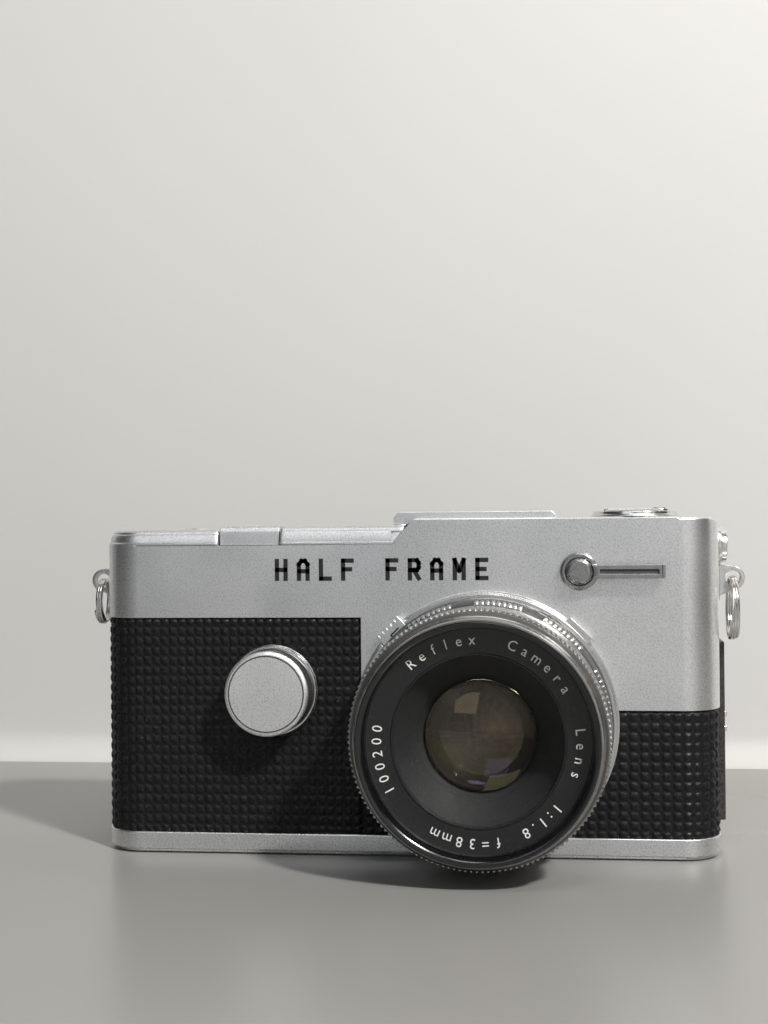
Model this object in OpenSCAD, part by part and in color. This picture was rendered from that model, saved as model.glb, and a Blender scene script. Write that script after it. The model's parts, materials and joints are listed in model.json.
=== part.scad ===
// Half frame single lens reflex camera, built as it comes apart on the bench.
// Millimetres. +X to the right seen from the front, -Y forward, +Z up.
// The origin is the mouth of the tripod socket, in the middle of the base.

/* [Body] */
// Width of the body over its rounded ends
body_w = 126; // [126:0.5:128]
// Depth of the body from the front plate to the back of the casting
body_d = 28; // [28:0.5:29]
// Corner radius of the body seen from above
corner_r = 8; // [7:0.5:9]
// Height of the base plate
base_h = 4.4; // [4.2:0.1:4.5]
// Height of the seam between the front plate and the left deck
seam_z = 63.05; // [62.9:0.05:63.2]
// Height of the raised right deck
deck_z = 68; // [67.8:0.1:68.2]
// Top of the finder hump
hump_z = 69.5; // [69.3:0.1:70]
// Wall thickness of the pressed covers
wall = 1.15; // [1:0.05:1.2]

/* [Leather] */
// Top edge of the leather on the left of the lens
leather_top = 48.2; // [47.8:0.1:48.5]
// Top edge of the leather on the right of the lens
leather_low = 29.7; // [29:0.1:30]
// Left edge of the silver apron beside the lens
apron_x = -8.8; // [-9.2:0.1:-8.4]

/* [Lens] */
// Lens axis, sideways from the middle of the body
lens_x = 16.3; // [16.1:0.1:16.5]
// Lens axis, above the base
lens_z = 27.1; // [27:0.1:27.3]
// Radius of the mount flange
flange_r = 25.9; // [25.8:0.1:26.1]
// How far the front rim stands in front of the front plate
lens_len = 29.6; // [29.6:0.1:30]
// Radius of the bayonet throat
throat_r = 17.3; // [17.3:0.05:17.4]
// Radius inside the filter thread
filter_r = 21.25; // [21.2:0.05:21.3]

/* [Controls] */
// Radius of the shutter speed dial
dial_r = 8.5; // [8:0.1:8.6]
// Radius of the rewind knob
rewind_r = 8.6; // [8.4:0.1:8.7]
// Length of the self timer arm from its pivot
timer_len = 16.7; // [15:0.1:17]
// Teeth on the gear under the advance lever
gear_teeth = 26; // [26:1:26]
// Teeth on the gear of the take up spool
spool_teeth = 13; // [13:1:13]

/* [Fasteners] */
// Wall radius of the quarter inch tripod socket
tripod_r = 2.55; // [2.5:0.05:2.6]
// Depth of the tripod socket
tripod_depth = 5.5; // [5.4:0.1:5.6]
// Wire radius of the split rings
wire_r = 0.54; // [0.5:0.02:0.56]

/* [Hidden] */
$fn = 64;
front_y = -body_d / 2;
back_y = body_d / 2;
end_x = body_w / 2;
film_y = 11.95;
floor_z = base_h + 0.1;
casting_top = 55;
door_top = 54;
casting_inset = wall + 0.1;
leather_t = 0.95;
take_up_joint = -14;
cassette_joint = 34.1;

// Plan positions of the film path
cassette = [46.7, 0.4];
cassette_r = 12.3;
spool = [-40, 1];
spool_r = 11;
sprocket_at = [-20.5, 8.6];
chamber_top = 52.8;

// Wind gear pair, module and centre distance
gear_m = 0.4;
gear_gap = gear_m * (gear_teeth + spool_teeth) / 2;
wind = [spool[0] - 7, spool[1] + sqrt(gear_gap * gear_gap - 49)];
mesh_angle = atan2(spool[1] - wind[1], spool[0] - wind[0]);

// Shutter disc and mirror
disc_x = 3.5;
disc_z = 32.2;
disc_r = 26.3;
pivot = [25.6, 1.2];
mirror_len = 17;

// Places of the controls on the front and top
dial_at = [-26.9, 33.5];
timer_at = [35.15, 57.4];
button_x = [-37.9, -25.6];
lug_x = 66.3;
lug_z = 55.4;
door_pin_at = [-62.2, 15.3];
eyepiece_at = [31, 59.6];
release_at = [-25, -2];
ear_angle = 45;
screw_places = [[-52, -6], [52, -6], [-52, 6], [52, 6]];
flange_screw_angles = [0, 80, 180, 270];

// ---- shared shapes ----

// Plan outline of the body, drawn in by an inset
module plan(inset) {
    w = body_w - 2 * inset;
    d = body_d - 2 * inset;
    r = corner_r - inset;
    square([w - 2 * r, d], center = true);
    square([w, d - 2 * r], center = true);
    for (sx = [-1, 1], sy = [-1, 1])
        translate([sx * (w / 2 - r), sy * (d / 2 - r)]) circle(r);
}

// A slab of the plan outline between two heights
module slab(inset, z0, z1) {
    translate([0, 0, z0]) linear_extrude(z1 - z0) plan(inset);
}

// A box given by its two corners
module block(a, b) {
    translate(a) cube(b - a);
}

// A front view outline carried from y0 back to y1
module front_cut(y0, y1) {
    translate([0, y1, 0]) rotate([90, 0, 0]) linear_extrude(y1 - y0) children();
}

// A [y, z] section carried along X from x0 to x1
module side_block(x0, x1) {
    block([x0, -20, 0], [x1, 20, 75]);
}

module side_cut(x0, x1) {
    translate([x0, 0, 0]) rotate([90, 0, 90]) linear_extrude(x1 - x0) children();
}

// A [radius, forward] profile turned about the lens axis
module lens_turned(profile) {
    translate([lens_x, front_y, lens_z]) rotate([90, 0, 0])
        rotate_extrude($fn = 120) polygon(profile);
}

// A cylinder along the lens axis between two distances from the front plate
module lens_disc(r, t0, t1) {
    translate([lens_x, front_y - t0, lens_z]) rotate([90, 0, 0]) cylinder(r = r, h = t1 - t0, $fn = 96);
}

// A cylinder pointing forward from the front plate at [x, z]
module forward_disc(at, r, t0, t1) {
    translate([at[0], front_y - t0, at[1]]) rotate([90, 0, 0]) cylinder(r = r, h = t1 - t0);
}

// A vertical cylinder at a plan position between two heights
module post(at, r, z0, z1) {
    translate([at[0], at[1], z0]) cylinder(r = r, h = z1 - z0);
}

// Spur gear outline, short straight flanked teeth
module gear_outline(teeth) {
    pitch_r = gear_m * teeth / 2;
    root_r = pitch_r - 1.15 * gear_m;
    tip_r = pitch_r + 0.75 * gear_m;
    half = 90 / teeth * 0.86;
    circle(root_r);
    for (i = [0:teeth - 1]) rotate(i * 360 / teeth)
        polygon([
            [root_r - 0.15, -root_r * sin(half * 1.55)],
            [pitch_r, -pitch_r * sin(half)],
            [tip_r, -tip_r * sin(half * 0.42)],
            [tip_r, tip_r * sin(half * 0.42)],
            [pitch_r, pitch_r * sin(half)],
            [root_r - 0.15, root_r * sin(half * 1.55)]]);
}

// ---- body ----

// the whole die cast body, from which the three castings below are taken
module casting() {
    difference() {
        slab(casting_inset, floor_z, casting_top);
        // centre cut down to clear the finder and the shutter disc
        block([-27, -20, 48], [33, 10.5, 60]);
        // lens throat and mirror box
        front_cut(front_y, front_y + 3.2) translate([lens_x, lens_z]) circle(20.4, $fn = 96);
        block([5, front_y, 14], [28.6, 2.6, 42]);
        // window to the focusing screen
        block([28, -10.8, 15], [33.8, 1.2, 49]);
        // shutter disc chamber
        translate([disc_x, 3.2, disc_z]) rotate([-90, 0, 0]) cylinder(r = disc_r + 0.5, h = 1.6, $fn = 96);
        // film gate
        block([7.8, 4, 16.1], [24.8, 14, 38.1]);
        // shutter disc bearing
        translate([disc_x, 4, disc_z]) rotate([-90, 0, 0]) cylinder(r = 1.55, h = 5);
        // film track and pressure plate recess
        block([-28, film_y, 9], [36, 14, 45]);
        // cassette chamber, open to the back
        post(cassette, cassette_r, 6.2, chamber_top);
        block([35.4, 4, 6.2], [58, 14, chamber_top]);
        // take up chamber, open to the back
        post(spool, spool_r, 6.2, chamber_top);
        block([-50, 5, 6.2], [-30, 14, chamber_top]);
        // sprocket chamber
        post(sprocket_at, 4.9, 8, 47);
        block([-25.2, 10, 8], [-15.8, 14, 47]);
        post(sprocket_at, 1.55, 6, 50);
        // spool, rewind and release shafts
        post(spool, 1.55, 5.2, 57);
        post(cassette, 2.45, 50, 57);
        post([-31.7, -9], 1.4, 46.5, 57);
        // dial spindle
        forward_disc(dial_at, 2.05, -5, 1);
        // tripod bush seat and rewind release button
        post([0, 0], 3.6, 4, 6);
        post(release_at, 2.75, 4, 8.2);
        // self timer spindle is carried by the front plate, so the corner is relieved
        block([29, front_y, 52.4], [42, -8, 60]);
    }
}

// middle casting with the mirror box, shutter chamber and film gate
module body_casting() {
    color("dimgray") intersection() {
        casting();
        side_block(take_up_joint, cassette_joint);
    }
}

// take up side with the sprocket chamber
module take_up_casting() {
    color("gray") intersection() {
        casting();
        side_block(-70, take_up_joint);
    }
}

// cassette side
module cassette_casting() {
    color("gray") intersection() {
        casting();
        side_block(cassette_joint, 70);
    }
}

module front_outline() {
    polygon([[-end_x - 1, leather_top], [apron_x, leather_top], [apron_x, leather_low],
        [end_x + 1, leather_low], [end_x + 1, deck_z - 1.1], [end_x - 2.5, deck_z],
        [2, deck_z], [-2.5, seam_z], [-end_x - 1, seam_z]]);
}

// Section of the rounded rim in front of the left deck
module rim_section(top) {
    polygon([[front_y, seam_z - 0.5], [front_y, seam_z], [front_y + 0.5, top - 1.3],
        [front_y + 1.4, top - 0.4], [front_y + 2.8, top], [-6.4, top], [-5.6, top - 0.8],
        [-5.6, seam_z - 0.5]]);
}

module top_cover() {
    color("silver") difference() {
        union() {
            intersection() {
                slab(0, 20, 75);
                front_cut(-20, 20) front_outline();
            }
            // left deck rims each side of the release bar
            intersection() {
                slab(0, 60, 75);
                union() {
                    side_cut(-end_x, -38.2) rim_section(66.2);
                    side_cut(-25.3, 0.2) rim_section(66.8);
                }
            }
            // finder hump
            front_cut(-8.4, 12.4) polygon([[-3.2, deck_z - 5], [-3.2, deck_z - 0.6],
                [-1.5, hump_z], [29.8, hump_z], [30.6, hump_z - 0.9], [30.6, deck_z - 5]]);
        }
        // hollow inside
        difference() {
            slab(wall, 20, deck_z - wall);
            block([-70, -20, seam_z - wall], [0, 20, 75]);
        }
        block([-2.2, -8.4 + wall, 55], [29.6, 12.4 - wall, hump_z - wall]);
        // the back stops above the door
        block([-70, 12.75, 10], [70, 20, door_top + 0.4]);
        // opening round the lens throat
        lens_disc(22.6, -3, 1);
        // release bar, lever shaft, rewind shaft and timer spindle
        block([button_x[0] - 0.3, front_y + wall - 0.05, 55], [button_x[1] + 0.3, -5.9, 70]);
        post(wind, 2.1, 60, 64);
        post(cassette, 2.7, 60, 70);
        forward_disc(timer_at, 1.35, -3, 1);
        // finder eyepiece
        block([eyepiece_at[0] - 5.2, 10, eyepiece_at[1] - 3.1],
            [eyepiece_at[0] + 5.2, 16, eyepiece_at[1] + 3.1]);
        // flash socket and strap lugs
        translate([55, 0, 62]) rotate([0, 90, 0]) cylinder(r = 2.6, h = 10);
    }
}

module base_plate() {
    color("silver") difference() {
        union() {
            slab(1.1, 0, base_h);
            slab(0.45, 0.3, base_h);
            slab(0, 0.9, base_h);
        }
        slab(wall + 1, 2.2, base_h + 1);
        post([0, 0], 6.05, -1, 3);
        post(release_at, 2.75, -1, 3);
        for (at = screw_places) post(at, 2.1, -1, 0.9);
        for (at = screw_places) post(at, 1.15, -1, 3);
    }
    // screw pillars between the plate and the casting
    color("silver") for (at = screw_places) difference() {
        post(at, 2.6, 2.2, base_h);
        post(at, 1.15, 2, base_h + 1);
    }
}

module front_leather() {
    color([0.08, 0.08, 0.09]) difference() {
        intersection() {
            difference() {
                slab(0.05, floor_z, leather_top - 0.1);
                slab(leather_t, floor_z - 1, leather_top + 1);
            }
            front_cut(-20, 13) polygon([[-70, 0], [70, 0], [70, leather_low - 0.1],
                [apron_x - 0.1, leather_low - 0.1], [apron_x - 0.1, 60], [-70, 60]]);
        }
        lens_disc(22.6, -3, 1);
        forward_disc(dial_at, 2.6, -3, 1);
    }
}

module light_seals() {
    color([0.05, 0.05, 0.05]) {
        block([-53, 12.75, 53.1], [53, 13.25, 53.9]);
        block([-53, 12.75, 4.9], [53, 13.25, 6.0]);
    }
}

// ---- back ----

module back_door() {
    color("darkgray") difference() {
        union() {
            block([-60.6, 13.5, 4.9], [63, 16.2, door_top]);
            // return round the right end
            block([52, 4, 4.9], [65, 16.2, 42]);
            // hinge knuckle
            post(door_pin_at, 1.5, 18, 35);
            block([-62.2, 15.2, 18], [-60, 16.2, 35]);
        }
        // clearance round the body
        intersection() {
            slab(-0.35, 0, 42.5);
            block([-70, -20, 0], [70, 13.45, 60]);
        }
        // rounded rear right corner
        difference() {
            block([61, 12.2, 4], [66, 17, 55]);
            post([61, 12.2], 4, 3, 56);
        }
        post(door_pin_at, 0.85, 10, 45);
        // latch recess
        block([64.3, 6, 18], [66, 11, 33]);
    }
}

module back_leather() {
    color([0.08, 0.08, 0.09]) block([-60, 16.2, 5.4], [60.5, 17.1, door_top - 0.5]);
}

module door_pin() {
    color("gray") {
        post(door_pin_at, 0.8, 12.2, 40.8);
        // casting ears above and below the knuckle
        for (z = [12.2, 35.3]) {
            difference() {
                union() {
                    post(door_pin_at, 1.5, z, z + 5.5);
                    block([-62.2, 12.8, z], [-60.9, 15.3, z + 5.5]);
                }
                post(door_pin_at, 0.79, z - 1, z + 7);
            }
        }
    }
}

module pressure_plate() {
    color("black") block([-4, 12.4, 11], [34, 12.9, 43.5]);
}

module pressure_spring() {
    color("silver") difference() {
        block([6, 12.9, 22], [25, 13.5, 32]);
        block([9, 12.5, 24], [22, 14, 30]);
    }
}

module door_latch() {
    color("silver") union() {
        block([64.4, 6.3, 19], [64.95, 10.7, 29]);
        block([64.4, 6.3, 23], [65.6, 10.7, 24.2]);
        block([64.4, 6.3, 26], [65.6, 10.7, 27.2]);
    }
}

// ---- release ----

module shutter_button() {
    color("silver") difference() {
        side_cut(button_x[0], button_x[1]) polygon([
            [front_y + wall + 0.15, 61.2], [front_y + wall + 0.15, 65.6],
            [front_y + wall + 0.6, 66.5], [front_y + wall + 1.5, 66.9],
            [-6.9, 66.9], [-6.2, 66.2], [-6.2, 61.2]]);
        // finger serrations across the left two thirds
        for (i = [0:6]) block([button_x[0] + 0.9 + i * 1.05, -20, 66.55],
            [button_x[0] + 1.35 + i * 1.05, 0, 68]);
    }
}

module release_rod() {
    color("gray") post([-31.7, -9], 1.3, 49, 61.2);
}

module release_spring() {
    color("gray") difference() {
        post([-31.7, -9], 2.2, 55.1, 61.1);
        post([-31.7, -9], 1.7, 55, 61.2);
    }
}

// ---- film advance ----

module advance_lever() {
    color("silver") {
        difference() {
            union() {
                post(wind, 8, seam_z + 0.25, 65.3);
                translate([wind[0], wind[1], seam_z + 0.65]) rotate(18) {
                    translate([0, -2.6, 0]) cube([21, 5.2, 1.5]);
                    translate([21, 0, 0]) cylinder(r = 2.6, h = 2.9);
                }
            }
            post(wind, 7.2, 64.4, 67);
        }
    }
}

module lever_cap() {
    color("silver") difference() {
        union() {
            post(wind, 2.95, 64.4, 66.1);
            post(wind, 2.5, 66, 66.4);
        }
        post(wind, 0.9, 66, 67);
    }
}

module advance_gear() {
    color("gold") {
        post(wind, 2.05, 58.4, seam_z + 0.25);
        translate([wind[0], wind[1], 57.2]) rotate(mesh_angle)
            linear_extrude(1.2) gear_outline(gear_teeth);
        post(wind, 1.5, 55.3, 57.2);
    }
}

module counter_dial() {
    color("white") difference() {
        post(wind, 7, 64.6, 65.2);
        post(wind, 3.15, 64, 66);
    }
}

module take_up_spool() {
    color([0.12, 0.12, 0.12]) difference() {
        union() {
            post(spool, 5.6, 8, 50);
            post(spool, 9.4, 6.6, 8);
            post(spool, 9.4, 50, 51.4);
            post(spool, 1.5, 5.3, 6.6);
            post(spool, 1.5, 51.4, 57);
        }
        // slot that takes the film leader
        block([spool[0] - 0.6, spool[1] - 10, 12], [spool[0] + 0.6, spool[1] + 10, 46]);
    }
}

module spool_gear() {
    color("gold") translate([spool[0], spool[1], 57.05])
        rotate(mesh_angle + 180 + 180 / spool_teeth)
            linear_extrude(1.5) gear_outline(spool_teeth);
}

module sprocket() {
    color("silver") {
        post(sprocket_at, 3.3, 8.8, 46.2);
        post(sprocket_at, 1.5, 6.2, 49.4);
        for (z = [11, 41]) {
            post(sprocket_at, 3.78, z - 1.4, z + 1.4);
            for (i = [0:4]) translate([sprocket_at[0], sprocket_at[1], z])
                rotate([0, 0, 36 + i * 72]) translate([3.2, 0, 0]) rotate([0, 90, 0])
                    cylinder(r1 = 0.8, r2 = 0.45, h = 1.25, $fn = 16);
        }
    }
}

// ---- rewind ----

module rewind_knob() {
    color("silver") difference() {
        union() {
            post(cassette, rewind_r, 68.2, 69.3);
            post(cassette, rewind_r + 0.3, 68.2, 68.6);
        }
        // recess that takes the folded crank
        block([cassette[0] - 6.9, cassette[1] - 2.6, 68.75], [cassette[0] + 20, cassette[1] + 2.6, 70]);
        post([cassette[0] + 5, cassette[1]], 3, 68.75, 70);
    }
}

module rewind_crank() {
    color("silver") difference() {
        union() {
            block([cassette[0] - 5.9, cassette[1] - 2.1, 69.05], [cassette[0] + 5, cassette[1] + 2.1, 69.75]);
            post([cassette[0] + 5, cassette[1]], 2.1, 69.05, 69.75);
            // hinge barrel
            translate([cassette[0] - 5.9, cassette[1] + 2.1, 69.4])
                rotate([90, 0, 0]) cylinder(r = 0.5, h = 4.2);
        }
        block([cassette[0] - 3.2, cassette[1] - 0.9, 69], [cassette[0] + 1.2, cassette[1] + 0.9, 70]);
    }
}

module crank_grip() {
    color("silver") post([cassette[0] + 5, cassette[1]], 1.5, 69.75, 69.95);
}

module rewind_fork() {
    color("silver") difference() {
        union() {
            post(cassette, 2.4, 45.4, 68.2);
            post(cassette, 3.6, 43.4, 45.4);
        }
        block([cassette[0] - 0.8, cassette[1] - 5, 42], [cassette[0] + 0.8, cassette[1] + 5, 44.6]);
    }
}

module rewind_collar() {
    color("gold") difference() {
        post(cassette, 4.2, 55.2, 57);
        post(cassette, 2.45, 55, 58);
    }
}

module rewind_release_button() {
    color("silver") {
        post(release_at, 2.4, 0.3, 6.2);
        post(release_at, 2.65, 3.4, 5);
    }
}

// ---- dials and self timer ----

module speed_dial() {
    color("silver") {
        forward_disc(dial_at, dial_r - 0.35, 1.2, 1.8);
        forward_disc(dial_at, dial_r, 1.8, 7.1);
        forward_disc(dial_at, dial_r - 0.45, 7.1, 7.5);
        forward_disc(dial_at, 2, -4.6, 1.2);
    }
}

module speed_dial_ring() {
    color("silver") difference() {
        union() {
            forward_disc(dial_at, 9.33, 0, 0.6);
            forward_disc(dial_at, 9.05, 0.6, 0.95);
        }
        forward_disc(dial_at, 2.6, -1, 2);
    }
}

module self_timer_lever() {
    color("silver") {
        difference() {
            union() {
                forward_disc(timer_at, 3.5, 0.25, 2.2);
                forward_disc(timer_at, 3.76, 0.6, 1.9);
                front_cut(front_y - 3.3, front_y - 1.6) translate([timer_at[0], timer_at[1] - 1.35])
                    square([timer_len - 0.6, 2.7]);
                front_cut(front_y - 3.5, front_y - 0.9) translate([timer_at[0] + timer_len - 0.6,
                    timer_at[1] - 1.35]) square([0.6, 2.7]);
            }
            // groove along the arm and seat of the cap
            front_cut(front_y - 4, front_y - 2.9) translate([timer_at[0] + 4, timer_at[1] - 0.45])
                square([timer_len - 5.2, 0.9]);
            forward_disc(timer_at, 2.8, 1.9, 4);
        }
        forward_disc(timer_at, 1.3, -3, 0.25);
    }
}

module self_timer_cap() {
    color("silver") {
        forward_disc(timer_at, 2.56, 1.9, 3.2);
        forward_disc(timer_at, 2.2, 3.2, 3.5);
    }
}

// ---- lens mount ----

module mount_flange() {
    color("silver") difference() {
        union() {
            lens_disc(flange_r + 0.6, 0, 0.8);
            lens_disc(flange_r + 0.25, 0.8, 1.5);
            lens_disc(flange_r, 1.5, 3);
            // fixed ear, upper right
            translate([lens_x, front_y, lens_z]) rotate([90, 0, 0]) rotate(ear_angle)
                translate([22, -3, 0]) cube([5.1, 6, 2.6]);
        }
        lens_disc(throat_r, -1, 4);
        // entry gaps for the three bayonet lugs
        translate([lens_x, front_y + 1, lens_z]) rotate([90, 0, 0]) for (a = [90, 210, 330])
            rotate(a) rotate_extrude(angle = 46, $fn = 96) translate([15, 0]) square([4.1, 5]);
        // seat of the release tab, upper left
        translate([lens_x, front_y, lens_z]) rotate([90, 0, 0]) rotate(180 - ear_angle)
            translate([21.2, -3.3, 0.8]) cube([8, 6.6, 4]);
        for (a = flange_screw_angles) translate([lens_x, front_y - 1.6, lens_z])
            rotate([90, 0, 0]) rotate(a) translate([21.6, 0, 0]) cylinder(r = 1.5, h = 3);
        for (a = flange_screw_angles) translate([lens_x, front_y + 1, lens_z])
            rotate([90, 0, 0]) rotate(a) translate([21.6, 0, 0]) cylinder(r = 0.85, h = 3);
    }
}

module mount_screws() {
    color("silver") for (a = flange_screw_angles)
        translate([lens_x, front_y - 1.6, lens_z]) rotate([90, 0, 0]) rotate(a)
            translate([21.6, 0, 0]) difference() {
                union() {
                    cylinder(r = 1.4, h = 0.9);
                    translate([0, 0, -2]) cylinder(r = 0.8, h = 2.1);
                }
                translate([-0.2, -2, 0.5]) cube([0.4, 4, 1]);
            }
}

module lens_release_tab() {
    color("silver") translate([lens_x, front_y, lens_z]) rotate([90, 0, 0]) rotate(180 - ear_angle)
        difference() {
            translate([22.5, -3, 1.1]) cube([5, 6, 1.7]);
            // finger serrations on the outer edge
            for (i = [0:4]) translate([26.9, -2.5 + i * 1.1, 0.9]) cube([1, 0.5, 3]);
        }
}

// ---- lens ----

module lens_barrel() {
    color("silver") {
        lens_turned([[15.6, -1.6], [17, -1.6], [17, 3.2], [25.3, 3.2], [25.3, 5], [25, 5.4],
            [21, 5.4], [21, 23.4], [18.4, 23.4], [18.4, 5.5], [15.6, 3.4]]);
        // bayonet lugs behind the flange
        translate([lens_x, front_y + 1.4, lens_z]) rotate([90, 0, 0]) for (a = [30, 150, 270])
            rotate(a) rotate_extrude(angle = 40, $fn = 96) translate([16.8, 0]) square([2, 1.1]);
    }
}

module depth_scale_ring() {
    color("silver") lens_turned([[21, 11.5], [24.2, 11.5], [24.2, 13.4], [23.6, 14.4], [21, 14.4]]);
}

module aperture_ring() {
    color("silver") difference() {
        lens_turned([[21.25, 5.7], [24.4, 5.7], [24.4, 6.4], [25, 6.8],
            [25, 10.6], [24.4, 11.2], [21.25, 11.2]]);
        // the eleven finger gaps
        for (i = [0:10]) translate([lens_x, front_y - 7.2, lens_z]) rotate([90, 0, 0])
            rotate(90 + 22 - 32.7 * i - 18) rotate_extrude(angle = 10, $fn = 96)
                translate([24.3, 0]) square([2, 3]);
    }
}

module focus_ring() {
    color("silver") lens_turned([[21.3, 14.7], [23.6, 14.7], [23.6, 16.4], [24, 17], [24, 21.2],
        [24.45, 21.6], [24.45, 24.4], [24.2, 24.65], [22.7, 24.65], [22.7, 17.4], [21.3, 16.9]]);
}

module front_barrel() {
    color("silver") lens_turned([[21.3, 18.4], [22.35, 18.4], [22.35, 24.95], [23.9, 24.95],
        [23.8, 25.6], [23.2, 26.2], [23.1, 27], [22.7, 27.5], [22.6, 28.3], [21.95, 28.3],
        [21.95, 25.6], [21.3, 24.9]]);
}

module front_rim() {
    color([0.05, 0.05, 0.05]) lens_turned([[filter_r, 25.7], [21.95, 25.7], [21.95, 28.35],
        [22.5, 28.35], [22.5, lens_len - 0.4], [22.2, lens_len],
        [21.6, lens_len], [filter_r, lens_len - 0.3]]);
}

module name_ring() {
    color([0.05, 0.05, 0.05]) lens_turned([[15.9, 24.9], [21.3, 24.9], [21.3, 25.7], [20.6, 25.7],
        [16.2, 25.3], [15.9, 25.2]]);
}

module inner_cone() {
    color([0.16, 0.16, 0.16]) lens_turned([[10.6, 16.2], [15.9, 23.4], [15.9, 24.9], [17.5, 24.9],
        [17.5, 22.8], [12.6, 15.4], [12.6, 9.6], [10.6, 9.6]]);
}

module front_glass() {
    color([0.5, 0.4, 0.6, 0.5]) intersection() {
        lens_disc(10.6, 12.6, 20);
        translate([lens_x, front_y + 1.6, lens_z]) sphere(r = 19, $fn = 128);
    }
}

module rear_cell() {
    color([0.1, 0.1, 0.1]) lens_turned([[8.5, 2.4], [10, 2.4], [10, 3.1], [15.6, 3.4],
        [18.4, 5.5], [18.4, 7], [8.5, 7]]);
}

module rear_glass() {
    color([0.5, 0.5, 0.6, 0.5]) intersection() {
        lens_disc(8.5, 2, 6.5);
        translate([lens_x, front_y - 17.1, lens_z]) sphere(r = 14.6, $fn = 128);
    }
}

// ---- reflex finder and shutter ----

// Places children along the resting mirror, with X from its pivot to its free edge
module at_mirror() {
    translate([pivot[0], pivot[1], lens_z + 0.6]) rotate(225) children();
}

module mirror_holder() {
    color("black") {
        at_mirror() translate([1, 0.25, -11.4]) cube([mirror_len - 1, 0.8, 22.8]);
        post(pivot, 1.2, 14.5, 41.5);
    }
}

module reflex_mirror() {
    color("lightblue") at_mirror() translate([1.6, -0.8, -11]) cube([mirror_len - 1.8, 1.05, 22]);
}

module focusing_screen() {
    color([0.8, 0.8, 0.8, 0.6]) block([29.6, -10.5, 15.3], [30.6, 0.9, 40]);
}

module finder_prism() {
    color([0.7, 0.8, 0.9, 0.5]) {
        side_cut(20, 32.6) polygon([[-9.5, 49.5], [-9.5, 56], [-4.5, 62.2], [3, 62.2], [3, 49.5]]);
    }
}

// A block centred on the finder eyepiece, given by half its width and height
module eyepiece_block(half_w, half_h, y0, y1) {
    block([eyepiece_at[0] - half_w, y0, eyepiece_at[1] - half_h],
        [eyepiece_at[0] + half_w, y1, eyepiece_at[1] + half_h]);
}

module eyepiece_frame() {
    color("black") difference() {
        eyepiece_block(8, 4.8, back_y, 17.9);
        block([eyepiece_at[0] - 5, 13, eyepiece_at[1] - 3], [eyepiece_at[0] + 5, 20, eyepiece_at[1] + 3]);
        eyepiece_block(6.2, 3.8, 16.6, 20);
    }
}

module eyepiece_lens() {
    color([0.6, 0.7, 0.8, 0.5])
        eyepiece_block(4.95, 2.95, 14.2, 16.2);
}

module shutter_disc() {
    color("gray") {
        difference() {
            translate([disc_x, 3.8, disc_z]) rotate([-90, 0, 0]) cylinder(r = disc_r, h = 0.4, $fn = 96);
            // open half of the disc
            translate([disc_x, 3, disc_z]) rotate([-90, 0, 0]) rotate(105)
                rotate_extrude(angle = 150, $fn = 96) translate([4, 0]) square([30, 3]);
        }
        translate([disc_x, 3.8, disc_z]) rotate([-90, 0, 0]) cylinder(r = 1.5, h = 5);
    }
}

// ---- ends, base and fasteners ----

module strap_lugs() {
    color("silver") for (side = [-1, 1]) difference() {
        union() {
            front_cut(-0.6, 0.6) translate([side * lug_x, lug_z]) circle(2.5);
            front_cut(-0.6, 0.6) polygon([[side * (end_x + 0.01), 51.4], [side * lug_x, lug_z - 2.5],
                [side * lug_x, lug_z + 2.5], [side * (end_x + 0.01), 58]]);
            block([min(side * (end_x + 0.01), side * (end_x + 0.5)), -3, 51],
                [max(side * (end_x + 0.01), side * (end_x + 0.5)), 3, 57.6]);
        }
        front_cut(-2, 2) translate([side * lug_x, lug_z]) circle(1.45);
    }
}

// Two coils of wire hanging through a lug
module split_ring(x, outer_r) {
    mean_r = outer_r - wire_r;
    for (side = [-1, 1]) translate([x + side * (wire_r - 0.02), 0, lug_z - mean_r]) rotate([0, 90, 0])
        rotate_extrude($fn = 96) translate([mean_r, 0]) circle(wire_r, $fn = 20);
}

module split_ring_left() {
    color("silver") split_ring(-lug_x, 4.95);
}

module split_ring_right() {
    color("silver") split_ring(lug_x, 6.65);
}

module sync_socket() {
    color("silver") translate([0, 0, 62]) rotate([0, 90, 0]) difference() {
        union() {
            translate([0, 0, end_x]) cylinder(r = 4, h = 1);
            translate([0, 0, end_x]) cylinder(r = 3.4, h = 2.1);
            translate([0, 0, end_x - 3]) cylinder(r = 2.55, h = 4);
        }
        translate([0, 0, end_x - 1.9]) cylinder(r = 1.55, h = 6);
    }
}

module tripod_bush() {
    color("silver") difference() {
        union() {
            post([0, 0], 6, 0.05, 4.4);
            post([0, 0], 7.2, 2.25, 4.35);
            post([0, 0], 3.5, 4.4, 5.95);
        }
        post([0, 0], tripod_r, -1, tripod_depth);
    }
}

module base_screws() {
    color("silver") for (at = screw_places) difference() {
        union() {
            post(at, 2, 0.15, 0.9);
            post(at, 1.1, 0.5, 4.4);
        }
        block([at[0] - 3, at[1] - 0.25, -0.2], [at[0] + 3, at[1] + 0.25, 0.5]);
    }
}

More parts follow.
